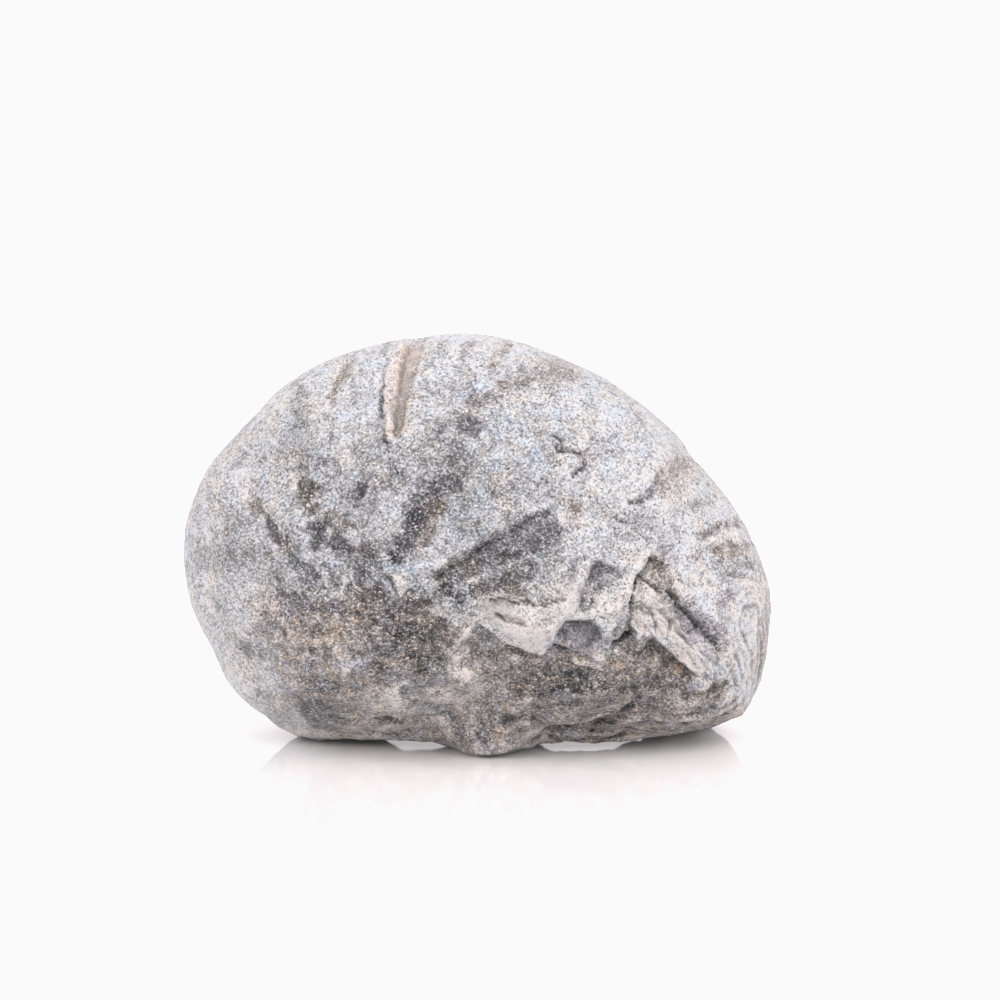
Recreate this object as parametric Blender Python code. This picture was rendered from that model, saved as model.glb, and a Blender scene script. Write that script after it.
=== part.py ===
"""A fossil oyster: one lump of limestone, a worn shell over hardened sediment.

Lengths are in millimetres here, and the mesh is in metres, +Z up, with the front towards -Y.
The shape starts as a rounded stone that fits an outline. The shell's furrows, ledges, broken
edges and hollows are then carved into it, and it rests on three worn spots at z = 0.
"""

import math

import bmesh
import bpy
import numpy as np
from mathutils import Vector, noise

MM = 0.001
TRIANGLES = 9400
SMALLEST_LIFT = 0.15

# Outline from the front, as (x, z), going round from the right end over the top.
OUTLINE_CENTRE = (0.0, 30.0)
OUTLINE = (
    (45.4, 22.5), (44.3, 27.0), (42.2, 31.5), (38.1, 38.5), (32.8, 45.2), (24.9, 52.0), (18.8, 56.8),
    (11.0, 60.9), (4.5, 62.5), (-4.3, 62.8), (-12.4, 62.2), (-20.4, 59.3), (-28.6, 55.0), (-35.2, 49.1),
    (-40.5, 42.6), (-43.7, 35.8), (-45.0, 28.4), (-44.0, 21.2), (-40.6, 14.3), (-37.5, 7.9),
    (-31.6, 3.0), (-23.4, 1.2), (-8.0, 1.1), (8.0, 1.1), (24.0, 1.3), (34.5, 2.7), (41.4, 6.3),
    (44.2, 12.5),
)
FRONT_DEPTH = 28.4
BACK_DEPTH = 28.1
FRONT_FULLNESS = 2.10
BACK_FULLNESS = 2.15
FRONT_UNDERSIDE_FULLNESS = -0.45
BACK_UNDERSIDE_FULLNESS = 0.50
FRONT_LEAN = (-1.5, -2.0)
BACK_LEAN = (2.0, 1.0)

# Worn facets: a direction, and how far from the outline's centre the stone ends that way.
FACETS = (
    ((0.95, -0.26, -0.16), 43.9, 1.0),
    ((0.38, 0.62, 0.68), 33.0, 3.0),
    ((-0.55, 0.80, -0.10), 32.0, 3.0),
    ((0.62, -0.70, 0.36), 33.5, 3.0),
)

# The front is drawn as it is seen from this eye, on a drawing of 1000 by 1000 steps with its
# middle in line with LOOK_AT. A place there is (steps to the right, steps down); at the back
# and underneath a place is (x, y, z).
LOOK_DOWN = math.radians(8.0)
LOOK_AT = np.array((3.4, 0.0, 37.8))
EYE_DISTANCE = 638.8
STEPS_PER_SLOPE = 4166.7
STEP = EYE_DISTANCE / STEPS_PER_SLOPE
TOWARDS_EYE = np.array((0.0, -math.cos(LOOK_DOWN), math.sin(LOOK_DOWN)))
UP_IN_VIEW = np.array((0.0, math.sin(LOOK_DOWN), math.cos(LOOK_DOWN)))

# Furrows that fan out from the beak: line, half width at its start and end, depth.
FURROWS = (
    # far left, from the top edge down, and two short ones beside it
    (((298, 398), (302, 447), (305, 490), (321, 526), (345, 560)), 3.2, 2.8, 0.40),
    (((250, 499), (272, 529), (288, 554)), 1.9, 1.6, 0.30),
    (((348, 366), (340, 388), (332, 404)), 1.4, 1.0, 0.40),
    # long furrow to the upper right and its side branch
    (((482, 396), (471, 430), (443, 480), (415, 521), (391, 552)), 3.6, 2.4, 0.50),
    (((430, 388), (448, 404), (471, 421)), 1.6, 2.2, 0.40),
    # the broad patch right of the top, and the band to the right edge
    (((524, 364), (553, 368), (582, 381)), 2.0, 2.6, 0.45),
    (((688, 460), (667, 477), (640, 500)), 2.8, 1.9, 0.35),
    # three bands over the right end
    (((747, 519), (723, 525), (700, 535)), 1.4, 1.1, 0.35),
    (((757, 547), (726, 544), (690, 556)), 1.5, 1.0, 0.35),
    (((761, 580), (736, 576), (715, 584)), 1.7, 1.4, 0.35),
    # over the top and down the back
    (((-27.6, 6.0, 52.6), (-26.0, 14.0, 46.0), (-24.0, 20.0, 36.0), (-20.0, 24.0, 24.0)),
        2.8, 2.0, 0.65),
    (((-9.0, 4.0, 61.5), (-8.0, 14.0, 57.0), (-8.0, 22.0, 46.0), (-7.0, 27.0, 32.0)), 2.2, 1.8, 0.75),
    (((6.0, 5.0, 61.0), (7.0, 16.0, 54.0), (6.0, 24.0, 40.0), (4.0, 28.0, 26.0)), 2.0, 2.7, 0.65),
    (((20.0, 6.0, 54.0), (20.0, 15.0, 46.0), (17.0, 22.0, 34.0), (13.0, 25.0, 22.0)), 2.0, 2.2, 0.60),
    (((33.0, 5.0, 44.5), (31.0, 12.0, 37.0), (27.0, 18.0, 27.0), (22.0, 21.0, 17.0)), 2.4, 1.8, 0.65),
    (((41.5, 4.0, 31.0), (38.0, 10.0, 24.0), (32.0, 15.0, 16.0)), 1.7, 1.5, 0.45),
    (((-39.0, 8.0, 42.0), (-36.0, 14.0, 34.0), (-31.0, 19.0, 24.0)), 2.0, 2.0, 0.50),
    # hollow ways under the stone, between the resting spots, open to the back
    (((-9.5, 4.5, 1.8), (-10.0, 10.0, 1.8), (-10.5, 20.0, 5.0)), 8.0, 10.0, 2.6),
    (((16.0, 4.0, 2.5), (16.0, 10.0, 3.0), (16.5, 20.0, 5.0)), 9.0, 12.0, 2.6),
)

# Open crack down through the shell.
CRACK = ((652, 557), (644, 568), (638, 578), (634, 590), (631, 604), (631, 626))

# Raised lines: line, half width at its start and end, height.
RIDGES = (
    # crumbly ridge left of the slot
    (((403, 345), (392, 364), (387, 388), (388, 412), (391, 437)), 0.9, 0.7, 0.60),
    # crest left of the crack
    (((655, 543), (641, 562), (631, 578), (628, 594), (618, 606)), 1.2, 1.3, 0.55),
    # between the lip and the scoop beside it
    (((586, 564), (576, 588), (566, 610), (552, 630)), 1.3, 1.2, 0.55),
    # the thin plates
    (((652, 606), (664, 619), (678, 637), (692, 656), (703, 671)), 0.7, 0.8, 0.50),
    # pale lozenge near the beak
    (((400, 582), (399, 595)), 0.9, 0.7, 0.45),
    # folds along the lower front, right
    (((515, 698), (554, 697), (595, 691), (641, 692), (693, 704)), 1.4, 1.4, 0.45),
    (((569, 722), (622, 718), (674, 719), (719, 711)), 1.2, 1.2, 0.45),
    # keels along the lower front edge, between the resting spots
    (((-17.0, -3.0, 2.2), (-10.5, -4.0, 2.6), (-4.5, -5.0, 2.8)), 5.0, 5.0, 1.6),
    (((7.0, -5.5, 3.0), (12.0, -5.5, 3.2), (18.0, -4.5, 3.0), (24.0, -2.5, 3.0), (29.0, 0.0, 3.0)),
        5.5, 5.5, 2.0),
)

# Ledges: the stone drops on the right-hand side of each line as it is drawn, by this much,
# within this distance, comes back over this reach, and is cut under by this much.
SHELL_LIP = (
    (478, 622), (489, 630), (500, 638), (514, 646), (528, 652), (539, 656), (546, 653), (549, 646),
)
BROKEN_EDGE = (
    (631, 626), (634, 629), (636, 639), (640, 639), (643, 631), (645, 637), (652, 638), (656, 635),
    (660, 642), (666, 648), (674, 654), (677, 659), (684, 664), (688, 669), (695, 674), (702, 679),
)
LEDGES = (
    (SHELL_LIP, 1.7, 0.6, 9.0, 0.7),
    # round the bay beside the lip
    (((545, 654), (550, 644), (557, 631), (566, 621), (580, 617), (594, 620), (603, 628), (609, 638)),
        1.1, 0.8, 6.0, 0.2),
    (BROKEN_EDGE, 2.1, 0.6, 8.0, 0.9),
    # upper edge of the broad wedge that opens to the right of the beak
    (((426, 578), (469, 548), (500, 530), (530, 510), (556, 503)), 1.1, 1.2, 8.5, 0.0),
    # long low step from the shell to the sediment, at the left
    (((237, 623), (269, 616), (315, 611), (361, 604), (400, 603), (445, 611), (478, 619)),
        0.3, 2.4, 9.0, 0.0),
    # arches at the lower front edge
    (((530, 737), (548, 732), (566, 737)), 1.0, 0.7, 4.0, 0.0),
    # fold in the sediment, running down to the left
    (((648, 694), (634, 706), (618, 716), (598, 727)), 0.7, 0.6, 4.0, 0.3),
    # shell margin at the back
    (
        (
            (38.0, 12.0, 10.0), (26.0, 18.5, 11.5), (12.0, 23.0, 12.5), (-4.0, 24.5, 13.0),
            (-20.0, 20.5, 13.0), (-34.0, 12.0, 14.0),
        ),
        1.6, 0.9, 9.0, 0.6,
    ),
)

# Flat breaks in the shell: the softness of their edges, and corners with their heights.
BREAKS = (
    # smooth slot beside the ridge: its upper and its lower half
    (4.0, ((404, 350, -0.7), (427, 342, -0.3), (421, 362, -0.4), (414, 378, -0.5), (409, 394, -0.5),
        (396, 396, -0.9), (398, 372, -0.9))),
    (4.0, ((396, 396, -0.9), (409, 394, -0.5), (406, 412, -0.5), (405, 428, -0.5), (400, 441, -0.3),
        (395, 438, -0.4), (394, 418, -0.7))),
    # scoop left of the crack: steep along its top and left, rising to the lower right
    (5.0, ((598, 562, -1.0), (611, 566, -1.0), (623, 571, -0.5), (610, 585, -0.8), (596, 590, -1.3),
        (584, 581, -1.4), (589, 570, -1.4))),
    (5.0, ((596, 590, -1.3), (610, 585, -0.8), (623, 571, -0.5), (628, 583, 0.0), (624, 596, 0.2),
        (608, 606, 0.1), (592, 604, -0.7))),
    (5.0, ((584, 581, -1.4), (596, 590, -1.3), (592, 604, -0.7), (585, 611, -0.2), (577, 606, -0.9),
        (580, 593, -1.4))),
    (5.0, ((592, 604, -0.7), (608, 606, 0.1), (624, 596, 0.2), (620, 607, 0.4), (604, 616, 0.3),
        (585, 611, -0.2))),
    # bay in the shell's edge below it
    (6.0, ((560, 628, -0.2), (568, 621, -0.5), (580, 619, -0.7), (592, 621, -0.7), (601, 629, -0.5),
        (603, 639, -0.3), (597, 648, 0.0), (582, 651, 0.0), (566, 648, 0.0), (558, 640, 0.0))),
    # smooth blades left of the crack's foot
    (3.0, ((609, 636, -0.5), (618, 622, -0.3), (629, 608, -0.5), (631, 618, -1.1), (630, 628, -1.3),
        (620, 634, -1.0))),
    (4.0, ((609, 636, -0.6), (620, 634, -1.2), (630, 629, -1.6), (632, 640, -1.7), (621, 646, -1.0),
        (610, 648, -0.5))),
    # brown wall right of the crack
    (5.0, ((650, 557, -1.2), (659, 561, -0.8), (668, 567, -0.3), (673, 579, -0.2), (669, 589, -0.6),
        (658, 590, -1.2), (649, 581, -1.5), (641, 570, -1.5))),
    # upper plate
    (2.5, ((640, 573, -1.2), (647, 579, -1.2), (653, 586, -1.1), (660, 591, -1.0), (671, 591, -0.8),
        (678, 598, -0.9), (668, 604, -1.1), (655, 607, -0.9), (644, 603, -0.8), (632, 602, -0.8),
        (633, 595, -1.0), (637, 586, -1.2))),
    # lower plate, its left part and its long right part
    (2.5, ((631, 603, -1.3), (645, 604, -1.2), (653, 608, -1.1), (655, 618, -1.1), (657, 628, -1.0),
        (659, 642, -0.8), (652, 637, -0.8), (645, 638, -0.8), (640, 629, -0.9), (633, 627, -1.1),
        (630, 616, -1.4))),
    (2.5, ((653, 608, -1.1), (663, 607, -1.1), (674, 620, -1.0), (668, 640, -0.7), (659, 642, -0.8),
        (656, 628, -1.0))),
    (3.0, ((674, 620, -1.0), (686, 634, -0.9), (697, 650, -0.6), (706, 664, -0.3), (706, 679, -0.1),
        (696, 676, -0.3), (684, 664, -0.5), (676, 656, -0.6), (668, 651, -0.7), (668, 640, -0.7))),
    # trough: its floor, and its steep wall at the upper right
    (4.0, ((663, 607, -1.1), (677, 600, -1.3), (690, 613, -1.8), (703, 627, -1.9), (688, 634, -1.0),
        (674, 620, -1.0))),
    (4.0, ((703, 627, -1.9), (714, 639, -1.7), (720, 651, -0.9), (715, 663, -0.3), (706, 666, -0.3),
        (697, 650, -0.6), (688, 634, -1.0))),
    (4.0, ((668, 590, -0.2), (682, 597, 0.0), (697, 610, 0.0), (709, 620, 0.0), (703, 627, -1.9),
        (690, 613, -1.8), (677, 600, -1.2))),
    (4.0, ((709, 620, 0.0), (719, 628, 0.0), (728, 640, 0.0), (728, 650, 0.0), (720, 652, -0.8),
        (714, 639, -1.7), (703, 627, -1.9))),
    # deep shadow under the plates
    (4.0, ((634, 642, -0.4), (650, 639, -1.0), (662, 648, -1.2), (676, 656, -0.8), (668, 661, -0.2),
        (650, 655, -0.3), (636, 650, -0.2))),
)

# Round hollows, and lumps where the depth is below 0: place, half width, half height, depth.
HOLLOWS = (
    # the wedge is deepest near its far end, and again near the beak
    ((520, 546), 7.2, 3.6, 0.9),
    ((468, 569), 5.0, 2.2, 0.5),
    # small hollow at the right
    ((695, 505), 1.8, 1.2, 0.4),
    # swollen lip
    ((522, 630), 5.6, 3.4, -0.9),
    ((562, 606), 2.6, 2.6, -0.5),
    # smooth knob between the scoop and the crack's foot
    ((610, 612), 1.9, 1.3, -0.5),
    # other lumps
    ((364, 525), 5.0, 5.0, -0.7),
    ((466, 680), 3.4, 2.8, -0.9),
    ((436, 668), 1.7, 1.6, -0.6),
    ((598, 656), 1.7, 1.5, -0.7),
    ((582, 662), 2.0, 1.2, -0.3),
    ((480, 727), 9.0, 5.0, -1.2),
    ((263, 584), 6.0, 6.0, 0.8),
    ((680, 567), 3.5, 3.5, -0.6),
    ((-14.0, 21.0, 42.0), 9.0, 9.0, -1.2),
    ((14.0, 22.0, 40.0), 8.0, 8.0, -0.8),
    ((22.0, 21.0, 20.0), 9.0, 9.0, 1.2),
    ((-30.0, 16.0, 20.0), 9.0, 9.0, 1.0),
)

# Spots it rests on: (x, y), half width, half depth and height of each swelling.
RESTING_SPOTS = (
    ((2.2, -11.0), 8.2, 8.5, 6.2),
    ((-24.5, 3.0), 9.0, 11.0, 3.3),
    ((34.0, 12.5), 9.0, 10.0, 5.4),
)

# The lowest edge on the front drawing: the stone stays above it.
FRONT_EDGE = (
    (215, 659), (222, 672), (231, 686), (243, 700), (258, 714), (280, 728), (299, 736), (320, 739),
    (380, 739), (405, 740), (432, 742), (461, 752), (481, 755), (507, 752), (537, 745), (563, 740),
    (608, 741), (654, 736), (700, 729), (745, 714),
)

# Where the hardened sediment begins: its top and its left side as drawn, and its top at the
# back as (x, z).
SEDIMENT_TOP_EDGE = (
    (200, 640), (250, 601), (300, 596), (345, 597), (385, 602), (415, 606), (440, 616), (466, 624),
    (484, 630), (497, 639), (513, 648), (531, 655), (546, 655), (554, 644), (566, 650), (600, 652),
    (632, 642), (660, 650), (680, 664), (700, 682), (725, 692), (745, 700), (770, 712),
)
SEDIMENT_LEFT_EDGE = ((248, 600), (274, 650), (300, 700), (328, 738), (345, 770))
SEDIMENT_BACK = (
    (-44.0, 0.0), (-38.0, 6.0), (-34.0, 11.0), (-20.0, 12.8), (-4.0, 12.8), (12.0, 12.2), (26.0, 11.2),
    (45.0, 9.0),
)


def smooth(x):
    """0 below 0, 1 above 1, and an even curve between them."""
    x = np.clip(x, 0.0, 1.0)
    return x * x * (3.0 - 2.0 * x)


def unit(vectors):
    return vectors / np.linalg.norm(vectors, axis=-1, keepdims=True)


def drawn(points):
    """Where these points lie on the front drawing."""
    from_eye = points - (LOOK_AT + EYE_DISTANCE * TOWARDS_EYE)
    ahead = -from_eye @ TOWARDS_EYE
    right = 500.0 + STEPS_PER_SLOPE * from_eye[:, 0] / ahead
    down = 500.0 - STEPS_PER_SLOPE * (from_eye @ UP_IN_VIEW) / ahead
    return np.stack([right, down], axis=1)


def ball(name, cuts):
    """A mesh of even squares on a ball, and the place of each of its points on a cube."""
    grid = bmesh.new()
    bmesh.ops.create_cube(grid, size=2.0)
    bmesh.ops.subdivide_edges(grid, edges=grid.edges[:], cuts=cuts, use_grid_fill=True)
    mesh = bpy.data.meshes.new(name)
    grid.to_mesh(mesh)
    grid.free()
    places = np.empty(len(mesh.vertices) * 3)
    mesh.vertices.foreach_get("co", places)
    return mesh, places.reshape(-1, 3)


def gather(ways, towards, reach, pull):
    """Draws the points of the ball together round one direction, for finer detail there."""
    offset = ways - unit(np.array(towards))
    near = np.exp(-np.sum(offset**2, axis=1, keepdims=True) / reach**2)
    return unit(ways - pull * near * offset)


def outline_radius(angle):
    """How far the outline lies from its centre at this angle: an even curve through its points."""
    x, z = (np.array(OUTLINE) - OUTLINE_CENTRE).T
    turn = np.arctan2(z, x)
    order = np.argsort(turn)
    turn = turn[order]
    radius = np.tile(np.hypot(x, z)[order], 3)
    turn = np.concatenate([turn - 2.0 * math.pi, turn, turn + 2.0 * math.pi])
    slope = np.gradient(radius, turn)
    i = np.searchsorted(turn, angle) - 1
    gap = turn[i + 1] - turn[i]
    t = (angle - turn[i]) / gap
    return (
        radius[i] * (1.0 + 2.0 * t) * (1.0 - t) ** 2
        + radius[i + 1] * t * t * (3.0 - 2.0 * t)
        + gap * slope[i] * t * (1.0 - t) ** 2
        + gap * slope[i + 1] * t * t * (t - 1.0)
    )


def plain_stone(ways):
    """The rounded stone with its facets: a point for each direction."""
    x, y, z = ways.T
    before = y < 0.0
    angle = np.arctan2(z, x)
    fullness = np.where(before, FRONT_FULLNESS, BACK_FULLNESS)
    below = np.where(before, FRONT_UNDERSIDE_FULLNESS, BACK_UNDERSIDE_FULLNESS)
    fullness += below * smooth(-np.sin(angle))
    power = 2.0 / fullness
    outwards = np.hypot(x, z) ** power
    deep = np.abs(y) ** power
    reach = outline_radius(angle) * outwards
    lean = np.where(before[:, None], FRONT_LEAN, BACK_LEAN) * (deep**2)[:, None]
    middle = (2.0 + 1.5 * np.sin(angle + 0.6)) * outwards**2
    points = np.stack(
        [
            OUTLINE_CENTRE[0] + reach * np.cos(angle) + lean[:, 0],
            middle + np.where(before, -FRONT_DEPTH, BACK_DEPTH) * deep,
            OUTLINE_CENTRE[1] + reach * np.sin(angle) + lean[:, 1],
        ],
        axis=1,
    )
    centre = np.array((OUTLINE_CENTRE[0], 0.0, OUTLINE_CENTRE[1]))
    for facing, distance, softness in FACETS:
        facing = unit(np.array(facing))
        over = (points - centre) @ facing - distance
        cut = softness * np.logaddexp(0.0, over / softness * 2.0) / 2.0
        points -= cut[:, None] * facing
    return points


def rough(points, size, amount, seed):
    """Uneven ground of this wavelength and height."""
    places = points / size + seed * 17.3
    return amount * np.array([noise.noise(Vector(place)) for place in places])


def shaken(points, size, amount, seeds):
    """These points, each moved aside a little, so that what is drawn on them gets uneven edges."""
    return points + np.stack([rough(points, size, amount, seed) for seed in seeds], axis=1)


def spot(place):
    """The number of the point of the plain stone that lies nearest this place."""
    if len(place) == 3:
        return np.argmin(np.sum((base - place) ** 2, axis=1))
    off = np.sum((drawing - place) ** 2, axis=1)
    return np.argmin(np.where(in_front, off, np.inf))


def beside(places, points):
    """Distance of each point from a line on the stone, how far along the line it lies from
    0 to 1, how far to the left of the line, and which way left is."""
    spots = [spot(place) for place in places]
    starts = base[spots[:-1]]
    steps = base[spots[1:]] - starts
    lengths = np.linalg.norm(steps, axis=1)
    done = np.concatenate([[0.0], np.cumsum(lengths)])
    best = np.full(len(points), np.inf)
    distance = np.zeros(len(points))
    along = np.zeros(len(points))
    left = np.zeros(len(points))
    leftward = np.zeros((len(points), 3))
    for k, (start, step, length) in enumerate(zip(starts, steps, lengths)):
        part = np.clip((points - start) @ step / length**2, 0.0, 1.0)
        offset = points - start - part[:, None] * step
        side = unit(np.cross(outward[spots[k]] + outward[spots[k + 1]], step))
        aside = offset @ side
        gap = np.linalg.norm(offset, axis=1)
        nearer = gap - 1e-3 * np.abs(aside) < best
        best = np.where(nearer, gap - 1e-3 * np.abs(aside), best)
        distance = np.where(nearer, gap, distance)
        along = np.where(nearer, (done[k] + part * length) / done[-1], along)
        left = np.where(nearer, aside, left)
        leftward[nearer] = side
    return distance, along, left, leftward


def area(corners, softness, points):
    """Which points lie in a flat-sided area of the front drawing or at its edge, how much of
    each it takes, from 0 to 1, and the height there, if the corners hold heights too."""
    ring = np.array([(*corner, 0.0)[:3] for corner in corners])
    middle = ring.mean(axis=0)
    inner = np.all((points > ring[:, :2].min(axis=0) - softness), axis=1)
    outer = np.all((points < ring[:, :2].max(axis=0) + softness), axis=1)
    near = np.flatnonzero(in_front & inner & outer)
    x, y = (points[near] - middle[:2]).T
    height = np.zeros(len(near))
    inside = np.full(len(near), -np.inf)
    for a, b in zip(ring - middle, np.roll(ring, -1, axis=0) - middle):
        turn = a[0] * b[1] - a[1] * b[0]
        s = (x * b[1] - y * b[0]) / turn
        t = (a[0] * y - a[1] * x) / turn
        here = (s >= 0.0) & (t >= 0.0)
        share = 1.0 / np.maximum(s + t, 1.0)
        height = np.where(here, middle[2] + share * (s * a[2] + t * b[2]), height)
        to_edge = (1.0 - s - t) * abs(turn) / np.hypot(*(b - a)[:2])
        inside = np.where(here, to_edge, inside)
    return near, smooth(inside / softness + 0.5), height


def in_sediment(places, seen, softness):
    """How much of each point is sediment, from 0 to 1; the softness is in millimetres."""
    top = np.interp(seen[:, 0], *np.array(SEDIMENT_TOP_EDGE).T)
    right, down = np.array(SEDIMENT_LEFT_EDGE).T
    left = np.interp(seen[:, 1], down, right)
    wider = softness * (1.0 + 2.0 * smooth((430.0 - seen[:, 0]) / 120.0))
    front = smooth(STEP * (seen[:, 1] - top) / wider + 0.5)
    front *= smooth(STEP * (seen[:, 0] - left) / (1.6 * wider) + 0.5)
    back_top = np.interp(places[:, 0], *np.array(SEDIMENT_BACK).T)
    back = smooth((back_top - places[:, 2]) / softness + 0.5)
    return front + (back - front) * smooth((base[:, 1] + 1.0) / 5.0)


def furrow(places, start_width, end_width, depth, points):
    """A round-bottomed groove along a line, or a ridge where the depth is below 0."""
    global rise
    distance, along, _, _ = beside(places, points)
    width = start_width + (end_width - start_width) * along
    rise -= depth * np.clip(1.0 - (distance / width) ** 2, 0.0, None) ** 2


def ledge(places, drop, edge, reach, under, points):
    """A step down on the right-hand side of a line."""
    global rise, slide
    distance, along, left, leftward = beside(places, points)
    ends = smooth(along / 0.08) * smooth((1.0 - along) / 0.08)
    below = np.where(left < 0.0, smooth(distance / edge) * ends, 0.0)
    rise -= drop * below * (1.0 - smooth(distance / reach))
    if under:
        slide += (under * below * np.exp(-distance / (1.5 * under)))[:, None] * leftward


def hollow(place, half_width, half_height, depth):
    """A round hollow, or a lump where the depth is below 0."""
    global rise
    offset = base - base[spot(place)]
    flat = np.hypot(offset[:, 0] / half_width, offset[:, 2] / half_height)
    if len(place) == 3:
        flat = np.linalg.norm(offset, axis=1) / half_width
    near = np.linalg.norm(offset, axis=1) < 1.6 * max(half_width, half_height)
    rise -= np.where(near, depth * np.clip(1.0 - flat**2, 0.0, None) ** 1.5, 0.0)


def lighten(mesh, triangles):
    """The same surface with about this many triangles, kept where the stone bends most."""
    rough_cast = bpy.data.objects.new("rough_cast", mesh)
    bpy.context.scene.collection.objects.link(rough_cast)
    fewer = rough_cast.modifiers.new("fewer", "DECIMATE")
    fewer.ratio = triangles / (2.0 * len(mesh.polygons))
    fewer.use_collapse_triangulate = True
    graph = bpy.context.evaluated_depsgraph_get()
    light = bpy.data.meshes.new_from_object(rough_cast.evaluated_get(graph))
    bpy.data.objects.remove(rough_cast)
    return light


def grind_flat(mesh):
    """Cuts the resting spots off level at height 0 and closes them."""
    cast = bmesh.new()
    cast.from_mesh(mesh)
    for vertex in cast.verts:
        if abs(vertex.co.z) < SMALLEST_LIFT * MM:
            vertex.co.z = 0.0
    bmesh.ops.bisect_plane(
        cast,
        geom=cast.verts[:] + cast.edges[:] + cast.faces[:],
        dist=1e-7,
        plane_co=(0.0, 0.0, 0.0),
        plane_no=(0.0, 0.0, -1.0),
        clear_outer=True,
    )
    rims = [edge for edge in cast.edges if edge.is_boundary]
    bmesh.ops.holes_fill(cast, edges=rims, sides=0)
    bmesh.ops.triangulate(cast, faces=cast.faces[:])
    bmesh.ops.recalc_face_normals(cast, faces=cast.faces[:])
    cast.to_mesh(mesh)
    cast.free()


for old in list(bpy.data.objects):
    bpy.data.objects.remove(old)

# The rounded stone.
cast, cube_places = ball("rough_cast", 111)
ways = unit(np.tan(cube_places * math.pi / 4.0))
ways = gather(ways, (0.10, -1.0, -0.05), 1.0, 0.30)
ways = gather(ways, (0.55, -0.78, -0.30), 0.50, 0.45)
base = plain_stone(ways)
cast.vertices.foreach_set("co", (base * MM).ravel())
cast.update()
outward = np.empty(len(base) * 3)
cast.vertex_normals.foreach_get("vector", outward)
outward = outward.reshape(-1, 3)
drawing = drawn(base)
to_eye = unit(LOOK_AT + EYE_DISTANCE * TOWARDS_EYE - base)
in_front = np.sum(outward * to_eye, axis=1) > 0.02

# Its relief: how far each point rises, and how far it slides along the surface.
low = in_sediment(base, drawing, 5.0)
rise = rough(base, 17.0, 1.5, 1.0) + (0.6 + 0.4 * low) * rough(base, 7.0, 0.5, 2.0)
rise += low * rough(base * (1.0, 1.0, 1.8), 5.0, 0.7, 3.0)
rise += (0.3 + 0.5 * low) * rough(base * (1.0, 1.0, 1.6), 2.4, 0.32, 4.0)
slide = np.zeros((len(base), 3))
uneven = shaken(base, 3.0, 0.7, (5.0, 6.0, 7.0))
for places, start_width, end_width, depth in FURROWS:
    furrow(places, start_width, end_width, depth, uneven)
for softness, corners in BREAKS:
    level = np.mean([corner[2] for corner in corners])
    near, share, height = area(corners, softness, drawn(base + level * outward))
    rise[near] += share * height
drawing = drawn(base + outward * rise[:, None])
for places, drop, edge, reach, under in LEDGES:
    ledge(places, drop, edge, reach, under, base)
for places, start_width, end_width, height in RIDGES:
    furrow(places, start_width, end_width, -height, base)
furrow(CRACK, 0.7, 0.8, 1.3, base)
for place, half_width, half_height, depth in HOLLOWS:
    hollow(place, half_width, half_height, depth)
points = base + outward * rise[:, None] + slide
for place, half_width, half_depth, height in RESTING_SPOTS:
    away = (uneven[:, :2] - place) / (half_width, half_depth)
    under = smooth((12.0 - points[:, 2]) / 6.0)
    points[:, 2] -= height * under * np.clip(1.0 - np.sum(away**2, axis=1), 0.0, None) ** 1.3
final_drawing = drawn(points)
lowest = np.interp(final_drawing[:, 0], *np.array(FRONT_EDGE).T)
missing = STEP * (final_drawing[:, 1] - lowest) + rough(base, 2.6, 0.35, 31.0)
points[:, 2] += 0.3 * np.logaddexp(0.0, missing / 0.3)
cast.vertices.foreach_set("co", (points * MM).ravel())

# The finished body, centred over the origin.
body = lighten(cast, TRIANGLES)
grind_flat(body)
corners = np.array([vertex.co for vertex in body.vertices])
middle = (corners.max(axis=0) + corners.min(axis=0)) / 2.0
for vertex in body.vertices:
    vertex.co.x -= middle[0]
    vertex.co.y -= middle[1]

rock = bpy.data.materials.new("rock")
rock.use_nodes = True
surface = rock.node_tree.nodes["Principled BSDF"]
surface.inputs["Base Color"].default_value = (0.42, 0.41, 0.41, 1.0)
surface.inputs["Roughness"].default_value = 0.85
surface.inputs["Metallic"].default_value = 0.0
body.materials.append(rock)
body.name = "fossil_oyster"
oyster = bpy.data.objects.new("fossil_oyster", body)
bpy.context.scene.collection.objects.link(oyster)
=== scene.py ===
import math
from functools import partial

import bmesh
import bpy
import numpy as np
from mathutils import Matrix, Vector, noise


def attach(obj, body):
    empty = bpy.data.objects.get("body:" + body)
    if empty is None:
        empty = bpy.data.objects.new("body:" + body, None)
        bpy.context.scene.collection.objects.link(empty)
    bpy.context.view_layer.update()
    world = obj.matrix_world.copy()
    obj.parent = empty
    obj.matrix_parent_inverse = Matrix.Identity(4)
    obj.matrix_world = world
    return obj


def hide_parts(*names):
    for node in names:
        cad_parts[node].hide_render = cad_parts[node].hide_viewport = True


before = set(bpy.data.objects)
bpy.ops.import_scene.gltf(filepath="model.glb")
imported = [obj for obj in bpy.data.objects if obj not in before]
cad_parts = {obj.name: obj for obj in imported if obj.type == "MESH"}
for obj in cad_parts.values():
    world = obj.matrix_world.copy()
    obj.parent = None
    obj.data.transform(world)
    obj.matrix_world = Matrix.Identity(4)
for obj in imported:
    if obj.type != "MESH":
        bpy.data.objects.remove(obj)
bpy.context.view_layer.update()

# ======================================================================================
# The stone's form
# One lump of limestone: the domed shell of an oyster over hardened sediment, rounded by
# wear. Lengths are in millimetres here; the mesh is in metres.
# ======================================================================================

MM = 0.001

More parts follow.
